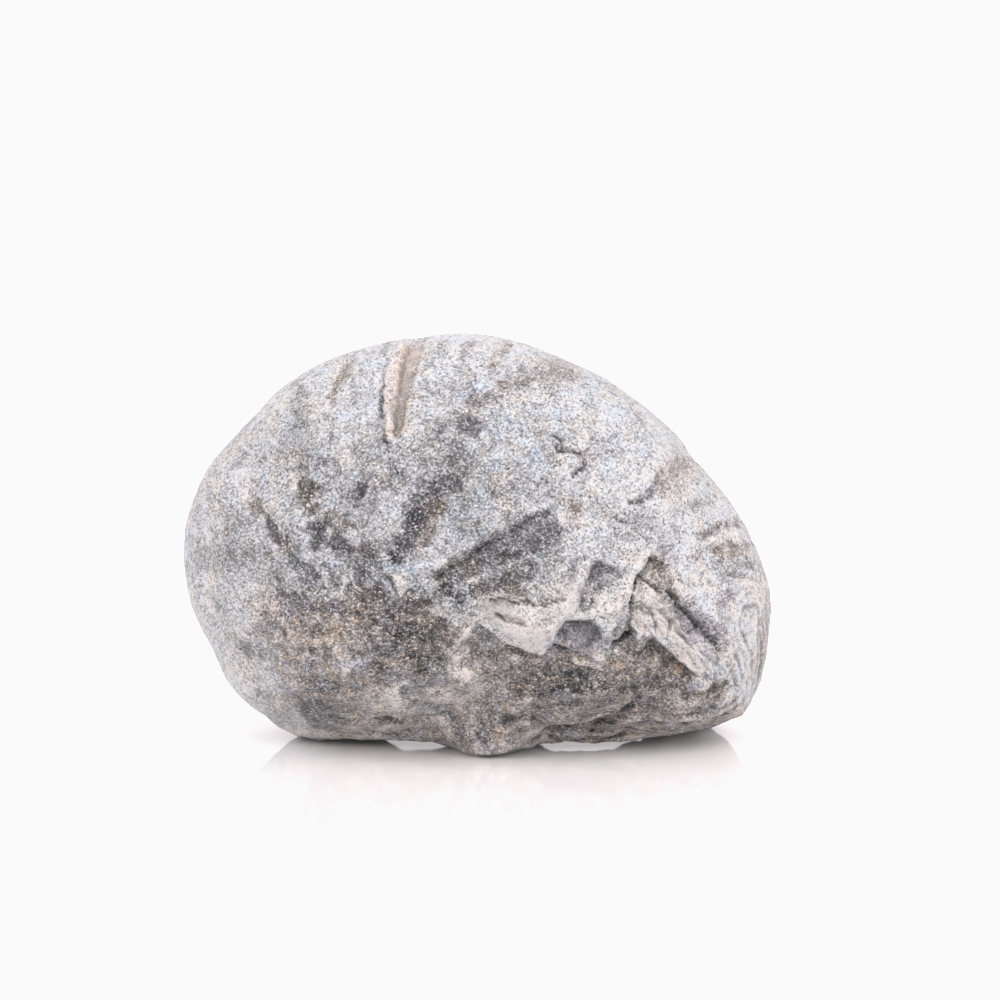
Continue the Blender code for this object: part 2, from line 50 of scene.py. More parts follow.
# Outline from the front, as (x, z), going round from the right end over the top.
OUTLINE_CENTRE = (0.0, 30.0)
OUTLINE = (
    (45.4, 22.5), (44.3, 27.0), (42.2, 31.5), (38.1, 38.5), (32.8, 45.2), (24.9, 52.0),
    (18.8, 56.8), (11.0, 60.9), (4.5, 62.5), (-4.3, 62.8), (-12.4, 62.2), (-20.4, 59.3),
    (-28.6, 55.0), (-35.2, 49.1), (-40.5, 42.6), (-43.7, 35.8), (-45.0, 28.4), (-44.0, 21.2),
    (-40.6, 14.3), (-37.5, 7.9), (-31.6, 3.0), (-23.4, 1.2), (-8.0, 1.1), (8.0, 1.1), (24.0, 1.3),
    (34.5, 2.7), (41.4, 6.3), (44.2, 12.5),
)
FRONT_DEPTH = 28.4
BACK_DEPTH = 28.1
FRONT_FULLNESS = 2.10
BACK_FULLNESS = 2.15
FRONT_UNDERSIDE_FULLNESS = -0.45
BACK_UNDERSIDE_FULLNESS = 0.50
FRONT_LEAN = (-1.5, -2.0)
BACK_LEAN = (2.0, 1.0)
# The rim between front and back lies a little behind the middle, and swings to and fro.
RIM_BACK = 2.0
RIM_WAVE = 1.5
RIM_TURN = 0.6

# Worn facets: a direction, how far from the outline's centre the stone ends that way, and how
# soft the facet's edge is.
FACETS = (
    ((0.95, -0.26, -0.16), 43.9, 1.0),
    ((0.38, 0.62, 0.68), 33.0, 3.0),
    ((-0.55, 0.80, -0.10), 32.0, 3.0),
    ((0.62, -0.70, 0.36), 33.5, 3.0),
)

# The front is drawn as it is seen from this eye, on a drawing of 1000 by 1000 steps with its
# middle in line with LOOK_AT. A place there is (steps to the right, steps down); at the back
# and underneath a place is (x, y, z). STEP is a step's length at the stone.
DRAWING_MIDDLE = 500.0
LOOK_DOWN = math.radians(8.0)
LOOK_AT = np.array((3.4, 0.0, 37.8))
EYE_DISTANCE = 638.8
STEPS_PER_SLOPE = 4166.7
STEP = EYE_DISTANCE / STEPS_PER_SLOPE
TOWARDS_EYE = np.array((0.0, -math.cos(LOOK_DOWN), math.sin(LOOK_DOWN)))
UP_IN_VIEW = np.array((0.0, math.sin(LOOK_DOWN), math.cos(LOOK_DOWN)))


def fade(values, start, end):
    """0 up to the start, 1 from the end on, and an even curve between them."""
    part = np.clip((values - start) / (end - start), 0.0, 1.0)
    return part * part * (3.0 - 2.0 * part)


def unit(vectors):
    """These vectors, each drawn out or shortened to a length of one."""
    return vectors / np.linalg.norm(vectors, axis=-1, keepdims=True)


def drawn(points):
    """Where these points lie on the front drawing."""
    from_eye = points - (LOOK_AT + EYE_DISTANCE * TOWARDS_EYE)
    ahead = -from_eye @ TOWARDS_EYE
    right = DRAWING_MIDDLE + STEPS_PER_SLOPE * from_eye[:, 0] / ahead
    down = DRAWING_MIDDLE - STEPS_PER_SLOPE * (from_eye @ UP_IN_VIEW) / ahead
    return np.stack([right, down], axis=1)


def read(items, name):
    """The vector of this name that each of a mesh's items holds."""
    values = np.empty(len(items) * 3)
    items.foreach_get(name, values)
    return values.reshape(-1, 3)


def ball(name, cuts):
    """A mesh of even squares on a ball, and the place of each of its points on a cube."""
    grid = bmesh.new()
    bmesh.ops.create_cube(grid, size=2.0)
    bmesh.ops.subdivide_edges(grid, edges=grid.edges[:], cuts=cuts, use_grid_fill=True)
    mesh = bpy.data.meshes.new(name)
    grid.to_mesh(mesh)
    grid.free()
    return mesh, read(mesh.vertices, "co")


def gather(ways, towards, reach, pull):
    """Draws the points of the ball together round one direction, for finer detail there."""
    offset = ways - unit(np.array(towards))
    near = np.exp(-np.sum(offset**2, axis=1, keepdims=True) / reach**2)
    return unit(ways - pull * near * offset)


def outline_radius(angle):
    """How far the outline lies from its centre at this angle: an even curve through its points."""
    x, z = (np.array(OUTLINE) - OUTLINE_CENTRE).T
    turn = np.arctan2(z, x)
    order = np.argsort(turn)
    turn = turn[order]
    radius = np.tile(np.hypot(x, z)[order], 3)
    turn = np.concatenate([turn - 2.0 * math.pi, turn, turn + 2.0 * math.pi])
    slope = np.gradient(radius, turn)
    i = np.searchsorted(turn, angle) - 1
    gap = turn[i + 1] - turn[i]
    t = (angle - turn[i]) / gap
    return (
        radius[i] * (1.0 + 2.0 * t) * (1.0 - t) ** 2
        + radius[i + 1] * t * t * (3.0 - 2.0 * t)
        + gap * slope[i] * t * (1.0 - t) ** 2
        + gap * slope[i + 1] * t * t * (t - 1.0)
    )


def plain_stone(ways):
    """The rounded stone with its facets: a point for each direction."""
    x, y, z = ways.T
    before = y < 0.0
    angle = np.arctan2(z, x)
    fullness = np.where(before, FRONT_FULLNESS, BACK_FULLNESS)
    below = np.where(before, FRONT_UNDERSIDE_FULLNESS, BACK_UNDERSIDE_FULLNESS)
    fullness += below * fade(np.sin(angle), 0.0, -1.0)
    power = 2.0 / fullness
    outwards = np.hypot(x, z) ** power
    deep = np.abs(y) ** power
    reach = outline_radius(angle) * outwards
    lean = np.where(before[:, None], FRONT_LEAN, BACK_LEAN) * (deep**2)[:, None]
    middle = (RIM_BACK + RIM_WAVE * np.sin(angle + RIM_TURN)) * outwards**2
    points = np.stack(
        [
            OUTLINE_CENTRE[0] + reach * np.cos(angle) + lean[:, 0],
            middle + np.where(before, -FRONT_DEPTH, BACK_DEPTH) * deep,
            OUTLINE_CENTRE[1] + reach * np.sin(angle) + lean[:, 1],
        ],
        axis=1,
    )
    centre = np.array((OUTLINE_CENTRE[0], 0.0, OUTLINE_CENTRE[1]))
    for facing, distance, softness in FACETS:
        facing = unit(np.array(facing))
        over = (points - centre) @ facing - distance
        cut = softness * np.logaddexp(0.0, over / softness * 2.0) / 2.0
        points -= cut[:, None] * facing
    return points


# How far apart in the noise the ground of one seed lies from that of the next.
SEED_GAP = 17.3


def rough(points, size, amount, seed):
    """Uneven ground of this wavelength and height, the same for the same seed."""
    places = points / size + seed * SEED_GAP
    return amount * np.array([noise.noise(Vector(place)) for place in places])


def shaken(points, size, amount, seeds):
    """These points, each moved aside a little, so that what is drawn on them gets uneven edges."""
    return points + np.stack([rough(points, size, amount, seed) for seed in seeds], axis=1)


CUTS = 127
stone, cube_places = ball("oyster_stone", CUTS)
ways = unit(np.tan(cube_places * math.pi / 4.0))
# finer at the front, and finer still at the broken shell
ways = gather(ways, (0.10, -1.0, -0.05), 1.0, 0.30)
ways = gather(ways, (0.55, -0.78, -0.30), 0.50, 0.45)
base = plain_stone(ways)
stone.vertices.foreach_set("co", (base * MM).ravel())
stone.update()
outward = read(stone.vertex_normals, "vector")
drawing = drawn(base)
to_eye = unit(LOOK_AT + EYE_DISTANCE * TOWARDS_EYE - base)
EDGE_ON = 0.02
in_front = np.sum(outward * to_eye, axis=1) > EDGE_ON


def spot(place):
    """The number of the point of the plain stone that lies nearest this place."""
    if len(place) == 3:
        return np.argmin(np.sum((base - place) ** 2, axis=1))
    off = np.sum((drawing - place) ** 2, axis=1)
    return np.argmin(np.where(in_front, off, np.inf))


# At a bend two stretches of a line can be equally near, and the one more to the side counts.
SIDEWAYS = 1e-3


def beside(places, points):
    """Distance of each point from a line on the stone, how far along the line it lies from
    0 to 1, how far to the left of the line, and which way left is."""
    spots = [spot(place) for place in places]
    starts = base[spots[:-1]]
    steps = base[spots[1:]] - starts
    lengths = np.linalg.norm(steps, axis=1)
    done = np.concatenate([[0.0], np.cumsum(lengths)])
    best = np.full(len(points), np.inf)
    distance = np.zeros(len(points))
    along = np.zeros(len(points))
    left = np.zeros(len(points))
    leftward = np.zeros((len(points), 3))
    for k, (start, step, length) in enumerate(zip(starts, steps, lengths)):
        part = np.clip((points - start) @ step / length**2, 0.0, 1.0)
        offset = points - start - part[:, None] * step
        side = unit(np.cross(outward[spots[k]] + outward[spots[k + 1]], step))
        aside = offset @ side
        gap = np.linalg.norm(offset, axis=1)
        judged = gap - SIDEWAYS * np.abs(aside)
        nearer = judged < best
        best = np.where(nearer, judged, best)
        distance = np.where(nearer, gap, distance)
        along = np.where(nearer, (done[k] + part * length) / done[-1], along)
        left = np.where(nearer, aside, left)
        leftward[nearer] = side
    return distance, along, left, leftward


def area(corners, softness, points):
    """Which points lie in a flat-sided area of the front drawing or at its edge, how much of
    each it takes, from 0 to 1, and the height there, if the corners hold heights too. The edge
    is this many steps soft."""
    ring = np.array([(*corner, 0.0)[:3] for corner in corners])
    middle = ring.mean(axis=0)
    past_low = np.all(points > ring[:, :2].min(axis=0) - softness, axis=1)
    below_high = np.all(points < ring[:, :2].max(axis=0) + softness, axis=1)
    near = np.flatnonzero(in_front & past_low & below_high)
    x, y = (points[near] - middle[:2]).T
    height = np.zeros(len(near))
    inside = np.full(len(near), -np.inf)
    for a, b in zip(ring - middle, np.roll(ring, -1, axis=0) - middle):
        turn = a[0] * b[1] - a[1] * b[0]
        s = (x * b[1] - y * b[0]) / turn
        t = (a[0] * y - a[1] * x) / turn
        here = (s >= 0.0) & (t >= 0.0)
        share = 1.0 / np.maximum(s + t, 1.0)
        height = np.where(here, middle[2] + share * (s * a[2] + t * b[2]), height)
        to_edge = (1.0 - s - t) * abs(turn) / np.hypot(*(b - a)[:2])
        inside = np.where(here, to_edge, inside)
    return near, fade(inside, -softness / 2.0, softness / 2.0), height


# ======================================================================================
# The stone's relief
# Furrows that fan out from the beak, the ridge beside the smooth slot, the shell lip over
# the sediment, the broken and layered shell at the right, and the worn resting spots.
# ======================================================================================

# Furrows: line, half width at its start and end, depth.
FURROWS = (
    # far left, from the top edge down, and two short ones beside it
    (((298, 398), (302, 447), (305, 490), (321, 526), (345, 560)), 3.2, 2.8, 0.40),
    (((250, 499), (272, 529), (288, 554)), 1.9, 1.6, 0.30),
    (((348, 366), (340, 388), (332, 404)), 1.4, 1.0, 0.40),
    # the hairline edge on the far side of the ridge beside the slot, and the slit below it
    (((385, 378), (381, 401), (383, 419)), 0.6, 0.6, 0.35),
    (((391, 448), (389, 471)), 0.6, 0.5, 0.35),
    # long furrow to the upper right and its side branch
    (((482, 396), (471, 430), (443, 480), (415, 521), (391, 552)), 3.6, 2.4, 0.50),
    (((430, 388), (448, 404), (471, 421)), 1.6, 2.2, 0.40),
    # narrow one at the top, the broad patch right of it, and the band to the right edge
    (((511, 342), (500, 359), (490, 372)), 1.2, 1.0, 0.40),
    (((524, 364), (553, 368), (582, 381)), 2.0, 2.6, 0.45),
    (((688, 460), (667, 477), (640, 500)), 2.8, 1.9, 0.35),
    # three bands over the right end
    (((747, 519), (723, 525), (700, 535)), 1.4, 1.1, 0.35),
    (((757, 547), (726, 544), (690, 556)), 1.5, 1.0, 0.35),
    (((761, 580), (736, 576), (715, 584)), 1.7, 1.4, 0.35),
    # hollow ways under the stone, between the resting spots, open to the back
    (((-9.5, 4.5, 1.8), (-10.0, 10.0, 1.8), (-10.5, 20.0, 5.0)), 8.0, 10.0, 2.6),
    (((16.0, 4.0, 2.5), (16.0, 10.0, 3.0), (16.5, 20.0, 5.0)), 9.0, 12.0, 2.6),
)

# Furrows over the top and down the back.
BACK_FURROWS = (
    (((-27.6, 6.0, 52.6), (-26.0, 14.0, 46.0), (-24.0, 20.0, 36.0), (-20.0, 24.0, 24.0)), 2.8, 2.0, 0.65),
    (((-9.0, 4.0, 61.5), (-8.0, 14.0, 57.0), (-8.0, 22.0, 46.0), (-7.0, 27.0, 32.0)), 2.2, 1.8, 0.75),
    (((6.0, 5.0, 61.0), (7.0, 16.0, 54.0), (6.0, 24.0, 40.0), (4.0, 28.0, 26.0)), 2.0, 2.7, 0.65),
    (((20.0, 6.0, 54.0), (20.0, 15.0, 46.0), (17.0, 22.0, 34.0), (13.0, 25.0, 22.0)), 2.0, 2.2, 0.60),
    (((33.0, 5.0, 44.5), (31.0, 12.0, 37.0), (27.0, 18.0, 27.0), (22.0, 21.0, 17.0)), 2.4, 1.8, 0.65),
    (((41.5, 4.0, 31.0), (38.0, 10.0, 24.0), (32.0, 15.0, 16.0)), 1.7, 1.5, 0.45),
    (((-39.0, 8.0, 42.0), (-36.0, 14.0, 34.0), (-31.0, 19.0, 24.0)), 2.0, 2.0, 0.50),
)

# Narrow cracks and slits: line, half width at its start and end, depth.
CRACKS = (
    # down through the shell, left of the broken plates
    (((652, 557), (644, 568), (638, 578), (634, 589)), 0.45, 0.45, 1.2),
    (((632, 596), (630, 606), (631, 616), (631, 628)), 0.4, 0.5, 1.0),
    (((641, 574), (648, 581), (655, 588), (664, 589), (672, 594)), 0.45, 0.45, 0.60),
    (((630, 602), (640, 602), (648, 606), (655, 609)), 0.40, 0.35, 0.45),
    # in the lip, and over it
    (((497, 615), (505, 619), (515, 620), (524, 623)), 0.35, 0.40, 0.55),
    (((489, 601), (502, 600), (513, 603), (530, 602), (546, 605), (563, 598)), 0.35, 0.35, 0.40),
    # beside the pale lozenge
    (((391, 578), (394, 587), (395, 596)), 0.5, 0.4, 0.60),
    # small pits and scratches at the upper right
    (((555, 437), (563, 441)), 0.6, 0.6, 0.55),
    (((559, 449), (570, 450), (581, 454)), 0.5, 0.6, 0.60),
    (((575, 476), (586, 461)), 0.5, 0.4, 0.40),
    (((534, 421), (552, 419), (570, 422)), 0.3, 0.3, 0.25),
    (((517, 395), (525, 405)), 0.3, 0.3, 0.25),
    (((631, 503), (641, 500), (650, 495)), 0.5, 0.5, 0.45),
    (((618, 518), (626, 523)), 0.5, 0.4, 0.40),
    # in the sediment
    (((548, 665), (562, 666)), 0.3, 0.3, 0.35),
    (((570, 666), (582, 668), (592, 670)), 0.4, 0.3, 0.50),
    (((373, 719), (386, 717), (398, 719)), 0.6, 0.5, 0.55),
)

# Raised lines: line, half width at its start and end, height.
RIDGES = (
    # crumbly ridge left of the slot
    (((403, 345), (392, 364), (387, 388), (388, 412), (391, 437)), 0.9, 0.7, 0.60),
    # crest left of the crack
    (((655, 543), (641, 562), (631, 578), (628, 594), (618, 606)), 1.2, 1.3, 0.55),
    # between the lip and the scoop beside it
    (((586, 564), (576, 588), (566, 610), (552, 630)), 1.3, 1.2, 0.55),
    # edges of the thin plates
    (((634, 605), (640, 614), (648, 625), (656, 634)), 0.45, 0.5, 0.40),
    (((652, 606), (664, 619), (678, 637), (692, 656), (703, 671)), 0.7, 0.8, 0.50),
    (((657, 604), (670, 617), (684, 635), (698, 655), (708, 667)), 0.4, 0.4, 0.32),
    (((654, 617), (665, 631), (677, 646), (689, 661), (699, 674)), 0.4, 0.5, 0.32),
    (((668, 608), (680, 620), (692, 637), (703, 653)), 0.35, 0.35, 0.20),
    (((636, 590), (645, 597), (656, 603)), 0.4, 0.4, 0.30),
    (((648, 575), (656, 585)), 0.35, 0.3, 0.30),
    (((656, 571), (664, 584)), 0.35, 0.3, 0.30),
    # pale lozenge near the beak
    (((400, 582), (399, 595)), 0.9, 0.7, 0.45),
    # folds along the lower front, right
    (((515, 698), (554, 697), (595, 691), (641, 692), (693, 704)), 1.4, 1.4, 0.45),
    (((569, 722), (622, 718), (674, 719), (719, 711)), 1.2, 1.2, 0.45),
    (((434, 642), (444, 652), (453, 660)), 0.3, 0.3, 0.25),
    # keels along the lower front edge, between the resting spots
    (((-17.0, -3.0, 2.2), (-10.5, -4.0, 2.6), (-4.5, -5.0, 2.8)), 5.0, 5.0, 1.6),
    (((7.0, -5.5, 3.0), (12.0, -5.5, 3.2), (18.0, -4.5, 3.0),
        (24.0, -2.5, 3.0), (29.0, 0.0, 3.0)), 5.5, 5.5, 2.0),
)

# Ledges: the stone drops on the right-hand side of each line as it is drawn, by this much,
# within this distance, comes back over this reach, and is cut under by this much.
SHELL_LIP = (
    (478, 622), (489, 630), (500, 638), (514, 646), (528, 652), (539, 656), (546, 653), (549, 646),
)
BROKEN_EDGE = (
    (631, 626), (634, 629), (636, 639), (640, 639), (643, 631), (645, 637), (652, 638), (656, 635),
    (660, 642), (666, 648), (674, 654), (677, 659), (684, 664), (688, 669), (695, 674), (702, 679),
)
LEDGES = (
    (SHELL_LIP, 1.7, 0.6, 9.0, 0.7),
    # round the bay beside the lip
    (((545, 654), (550, 644), (557, 631), (566, 621), (580, 617),
        (594, 620), (603, 628), (609, 638)), 1.1, 0.8, 6.0, 0.2),
    (BROKEN_EDGE, 2.1, 0.6, 8.0, 0.9),
    # upper edge of the broad wedge that opens to the right of the beak
    (((426, 578), (469, 548), (500, 530), (530, 510), (556, 503)), 1.1, 1.2, 8.5, 0.0),
    # long low step from the shell to the sediment, at the left
    (((237, 623), (269, 616), (315, 611), (361, 604), (400, 603),
        (445, 611), (478, 619)), 0.3, 2.4, 9.0, 0.0),
    # arches at the lower front edge
    (((530, 737), (548, 732), (566, 737)), 1.0, 0.7, 4.0, 0.0),
    # fold in the sediment, running down to the left
    (((648, 694), (634, 706), (618, 716), (598, 727)), 0.7, 0.6, 4.0, 0.3),
    # shell margin at the back
    (((38.0, 12.0, 10.0), (26.0, 18.5, 11.5), (12.0, 23.0, 12.5),
        (-4.0, 24.5, 13.0), (-20.0, 20.5, 13.0), (-34.0, 12.0, 14.0)), 1.6, 0.9, 9.0, 0.6),
)

# Flat breaks in the shell: the softness of their edges, and corners with their heights.
BREAKS = (
    # smooth slot beside the ridge: its upper and its lower half
    (4.0, ((404, 350, -0.7), (427, 342, -0.3), (421, 362, -0.4),
        (414, 378, -0.5), (409, 394, -0.5), (396, 396, -0.9),
        (398, 372, -0.9))),
    (4.0, ((396, 396, -0.9), (409, 394, -0.5), (406, 412, -0.5),
        (405, 428, -0.5), (400, 441, -0.3), (395, 438, -0.4),
        (394, 418, -0.7))),
    # scoop left of the crack: steep along its top and left, rising to the lower right
    (5.0, ((598, 562, -1.0), (611, 566, -1.0), (623, 571, -0.5),
        (610, 585, -0.8), (596, 590, -1.3), (584, 581, -1.4),
        (589, 570, -1.4))),
    (5.0, ((596, 590, -1.3), (610, 585, -0.8), (623, 571, -0.5),
        (628, 583, 0.0), (624, 596, 0.2), (608, 606, 0.1),
        (592, 604, -0.7))),
    (5.0, ((584, 581, -1.4), (596, 590, -1.3), (592, 604, -0.7),
        (585, 611, -0.2), (577, 606, -0.9), (580, 593, -1.4))),
    (5.0, ((592, 604, -0.7), (608, 606, 0.1), (624, 596, 0.2),
        (620, 607, 0.4), (604, 616, 0.3), (585, 611, -0.2))),
    # bay in the shell's edge below it
    (6.0, ((560, 628, -0.2), (568, 621, -0.5), (580, 619, -0.7), (592, 621, -0.7), (601, 629, -0.5),
        (603, 639, -0.3), (597, 648, 0.0), (582, 651, 0.0), (566, 648, 0.0), (558, 640, 0.0))),
    # smooth blades left of the crack's foot
    (3.0, ((609, 636, -0.5), (618, 622, -0.3), (629, 608, -0.5),
        (631, 618, -1.1), (630, 628, -1.3), (620, 634, -1.0))),
    (4.0, ((609, 636, -0.6), (620, 634, -1.2), (630, 629, -1.6),
        (632, 640, -1.7), (621, 646, -1.0), (610, 648, -0.5))),
    # brown wall right of the crack
    (5.0, ((650, 557, -1.2), (659, 561, -0.8), (668, 567, -0.3), (673, 579, -0.2),
        (669, 589, -0.6), (658, 590, -1.2), (649, 581, -1.5), (641, 570, -1.5))),
    # upper plate
    (2.5, ((640, 573, -1.2), (647, 579, -1.2), (653, 586, -1.1), (660, 591, -1.0),
        (671, 591, -0.8), (678, 598, -0.9), (668, 604, -1.1), (655, 607, -0.9),
        (644, 603, -0.8), (632, 602, -0.8), (633, 595, -1.0), (637, 586, -1.2))),
    # lower plate, its left part and its long right part
    (2.5, ((631, 603, -1.3), (645, 604, -1.2), (653, 608, -1.1),
        (655, 618, -1.1), (657, 628, -1.0), (659, 642, -0.8),
        (652, 637, -0.8), (645, 638, -0.8), (640, 629, -0.9),
        (633, 627, -1.1), (630, 616, -1.4))),
    (2.5, ((653, 608, -1.1), (663, 607, -1.1), (674, 620, -1.0),
        (668, 640, -0.7), (659, 642, -0.8), (656, 628, -1.0))),
    (3.0, ((674, 620, -1.0), (686, 634, -0.9), (697, 650, -0.6), (706, 664, -0.3), (706, 679, -0.1),
        (696, 676, -0.3), (684, 664, -0.5), (676, 656, -0.6), (668, 651, -0.7), (668, 640, -0.7))),
    # trough: its floor, and its steep wall at the upper right
    (4.0, ((663, 607, -1.1), (677, 600, -1.3), (690, 613, -1.8),
        (703, 627, -1.9), (688, 634, -1.0), (674, 620, -1.0))),
    (4.0, ((703, 627, -1.9), (714, 639, -1.7), (720, 651, -0.9),
        (715, 663, -0.3), (706, 666, -0.3), (697, 650, -0.6),
        (688, 634, -1.0))),
    (4.0, ((668, 590, -0.2), (682, 597, 0.0), (697, 610, 0.0),
        (709, 620, 0.0), (703, 627, -1.9), (690, 613, -1.8),
        (677, 600, -1.2))),
    (4.0, ((709, 620, 0.0), (719, 628, 0.0), (728, 640, 0.0),
        (728, 650, 0.0), (720, 652, -0.8), (714, 639, -1.7),
        (703, 627, -1.9))),
    # deep shadow under the plates
    (4.0, ((634, 642, -0.4), (650, 639, -1.0), (662, 648, -1.2),
        (676, 656, -0.8), (668, 661, -0.2), (650, 655, -0.3),
        (636, 650, -0.2))),
)

# Round hollows, and lumps where the depth is below 0: place, half width, half height, depth.
HOLLOWS = (
    # pit below the ridge
    ((387, 444), 0.8, 0.8, 0.5),
    # crumbs along the ridge
    ((402, 348), 0.9, 0.7, -0.35),
    ((394, 364), 0.8, 0.8, -0.30),
    ((390, 384), 0.9, 0.8, -0.35),
    ((388, 399), 1.0, 0.8, -0.40),
    ((391, 420), 0.8, 0.8, -0.30),
    ((392, 433), 0.7, 0.7, -0.30),
    # the wedge is deepest near its far end, and again near the beak
    ((520, 546), 7.2, 3.6, 0.9),
    ((468, 569), 5.0, 2.2, 0.5),
    # small hollow at the right
    ((695, 505), 1.8, 1.2, 0.4),
    # lens and hole in the sediment
    ((403, 690), 0.9, 1.1, 0.5),
    # swollen lip
    ((522, 630), 5.6, 3.4, -0.9),
    ((562, 606), 2.6, 2.6, -0.5),
    # smooth knob between the scoop and the crack's foot
    ((610, 612), 1.9, 1.3, -0.5),
    # other lumps
    ((364, 525), 5.0, 5.0, -0.7),
    ((466, 680), 3.4, 2.8, -0.9),
    ((436, 668), 1.7, 1.6, -0.6),
    ((598, 656), 1.7, 1.5, -0.7),
    ((582, 662), 2.0, 1.2, -0.3),
    ((480, 727), 9.0, 5.0, -1.2),
    ((263, 584), 6.0, 6.0, 0.8),
    ((680, 567), 3.5, 3.5, -0.6),
    ((-14.0, 21.0, 42.0), 9.0, 9.0, -1.2),
    ((14.0, 22.0, 40.0), 8.0, 8.0, -0.8),
    ((22.0, 21.0, 20.0), 9.0, 9.0, 1.2),
    ((-30.0, 16.0, 20.0), 9.0, 9.0, 1.0),
)

# Spots that the stone rests on: (x, y), half width, half depth and height of each swelling.
RESTING_SPOTS = (
    ((2.2, -11.0), 8.2, 8.5, 6.2),
    ((-24.5, 3.0), 9.0, 11.0, 3.3),
    ((34.0, 12.5), 9.0, 10.0, 5.4),
)

# The lowest edge on the front drawing: the stone stays above it.
FRONT_EDGE = (
    (215, 659), (222, 672), (231, 686), (243, 700), (258, 714), (280, 728), (299, 736), (320, 739),
    (380, 739), (405, 740), (432, 742), (461, 752), (481, 755), (507, 752), (537, 745), (563, 740),
    (608, 741), (654, 736), (700, 729), (745, 714),
)
# Where the hardened sediment begins: its top and its left side as drawn, and its top at the
# back as (x, z).
SEDIMENT_TOP_EDGE = (
    (200, 640), (250, 601), (300, 596), (345, 597), (385, 602), (415, 606), (440, 616), (466, 624),
    (484, 630), (497, 639), (513, 648), (531, 655), (546, 655), (554, 644), (566, 650), (600, 652),
    (632, 642), (660, 650), (680, 664), (700, 682), (725, 692), (745, 700), (770, 712),
)
SEDIMENT_LEFT_EDGE = ((248, 600), (274, 650), (300, 700), (328, 738), (345, 770))
SEDIMENT_BACK = (
    (-44.0, 0.0), (-38.0, 6.0), (-34.0, 11.0), (-20.0, 12.8), (-4.0, 12.8), (12.0, 12.2),
    (26.0, 11.2), (45.0, 9.0),
)


def in_sediment(places, seen, softness):
    """How much of each point is sediment, from 0 to 1; the softness is in millimetres."""
    top = np.interp(seen[:, 0], *np.array(SEDIMENT_TOP_EDGE).T)
    right, down = np.array(SEDIMENT_LEFT_EDGE).T
    left = np.interp(seen[:, 1], down, right)
    # the two kinds of stone run into each other more softly at the left
    half = softness / 2.0
    wider = half * (1.0 + 2.0 * fade(seen[:, 0], 430.0, 310.0))
    front = fade(STEP * (seen[:, 1] - top), -wider, wider)
    front *= fade(STEP * (seen[:, 0] - left), -1.6 * wider, 1.6 * wider)
    back_top = np.interp(places[:, 0], *np.array(SEDIMENT_BACK).T)
    back = fade(back_top - places[:, 2], -half, half)
    return front + (back - front) * fade(base[:, 1], -1.0, 4.0)


# Swells and bumps of the ground, rougher in the sediment.
low = in_sediment(base, drawing, 5.0)
rise = rough(base, 17.0, 1.5, 1.0) + (0.6 + 0.4 * low) * rough(base, 7.0, 0.5, 2.0)
rise += low * rough(base * (1.0, 1.0, 1.8), 5.0, 0.7, 3.0)
rise += (0.3 + 0.5 * low) * rough(base * (1.0, 1.0, 1.6), 2.4, 0.32, 4.0)
slide = np.zeros((len(base), 3))
# Lines and areas are measured from these shaken points, which makes their edges uneven.
uneven = shaken(base, 3.0, 0.7, (5.0, 6.0, 7.0))
ragged = shaken(uneven, 1.1, 0.45, (8.0, 9.0, 10.0))
crisp = shaken(base, 1.7, 0.35, (17.0, 18.0, 19.0))


def groove(places, start_width, end_width, points):
    """How deep a round-bottomed groove along a line is at each point, from 0 to 1."""
    distance, along, _, _ = beside(places, points)
    width = start_width + (end_width - start_width) * along
    return np.clip(1.0 - (distance / width) ** 2, 0.0, None) ** 2


def ledge(places, edge, reach, under):
    """A step down on the right-hand side of a line: how deep it is, from 0 to 1, and how far
    each point is pushed in under its edge."""
    distance, along, left, leftward = beside(places, crisp)
    ends = fade(along, 0.0, 0.08) * fade(along, 1.0, 0.92)
    below = np.where(left < 0.0, fade(distance, 0.0, edge) * ends, 0.0)
    push = under * below * np.exp(-distance / (1.5 * under)) if under else np.zeros(len(base))
    return below * fade(distance, reach, 0.0), push[:, None] * leftward


def hollow(place, half_width, half_height):
    """How deep a round hollow is at each point, from 0 to 1."""
    offset = base - base[spot(place)]
    flat = np.hypot(offset[:, 0] / half_width, offset[:, 2] / half_height)
    if len(place) == 3:
        flat = np.linalg.norm(offset, axis=1) / half_width
    near = np.linalg.norm(offset, axis=1) < 1.6 * max(half_width, half_height)
    return np.where(near, np.clip(1.0 - flat**2, 0.0, None) ** 1.5, 0.0)


for *line, depth in FURROWS + BACK_FURROWS:
    rise -= depth * groove(*line, ragged)
for softness, corners in BREAKS:
    level = np.mean([corner[2] for corner in corners])
    near, share, height = area(corners, softness, drawn(crisp + level * outward))
    rise[near] += share * height
drawing = drawn(base + outward * rise[:, None])
for places, drop, edge, reach, under in LEDGES:
    below, push = ledge(places, edge, reach, under)
    rise -= drop * below
    slide += push
for *line, height in RIDGES:
    rise += height * groove(*line, crisp)
for *line, depth in CRACKS:
    rise -= depth * groove(*line, crisp)
for *round_place, depth in HOLLOWS:
    rise -= depth * hollow(*round_place)

points = base + outward * rise[:, None] + slide
for place, half_width, half_depth, height in RESTING_SPOTS:
    away = (uneven[:, :2] - place) / (half_width, half_depth)
    under = fade(points[:, 2], 12.0, 6.0)
    points[:, 2] -= height * under * np.clip(1.0 - np.sum(away**2, axis=1), 0.0, None) ** 1.3
right, down = drawn(points).T
too_low = STEP * (down - np.interp(right, *np.array(FRONT_EDGE).T)) + rough(base, 2.6, 0.35, 31.0)
EDGE_SOFTNESS = 0.3
points[:, 2] += EDGE_SOFTNESS * np.logaddexp(0.0, too_low / EDGE_SOFTNESS)
stone.vertices.foreach_set("co", (points * MM).ravel())
drawing = drawn(points)
moved_by = points - base


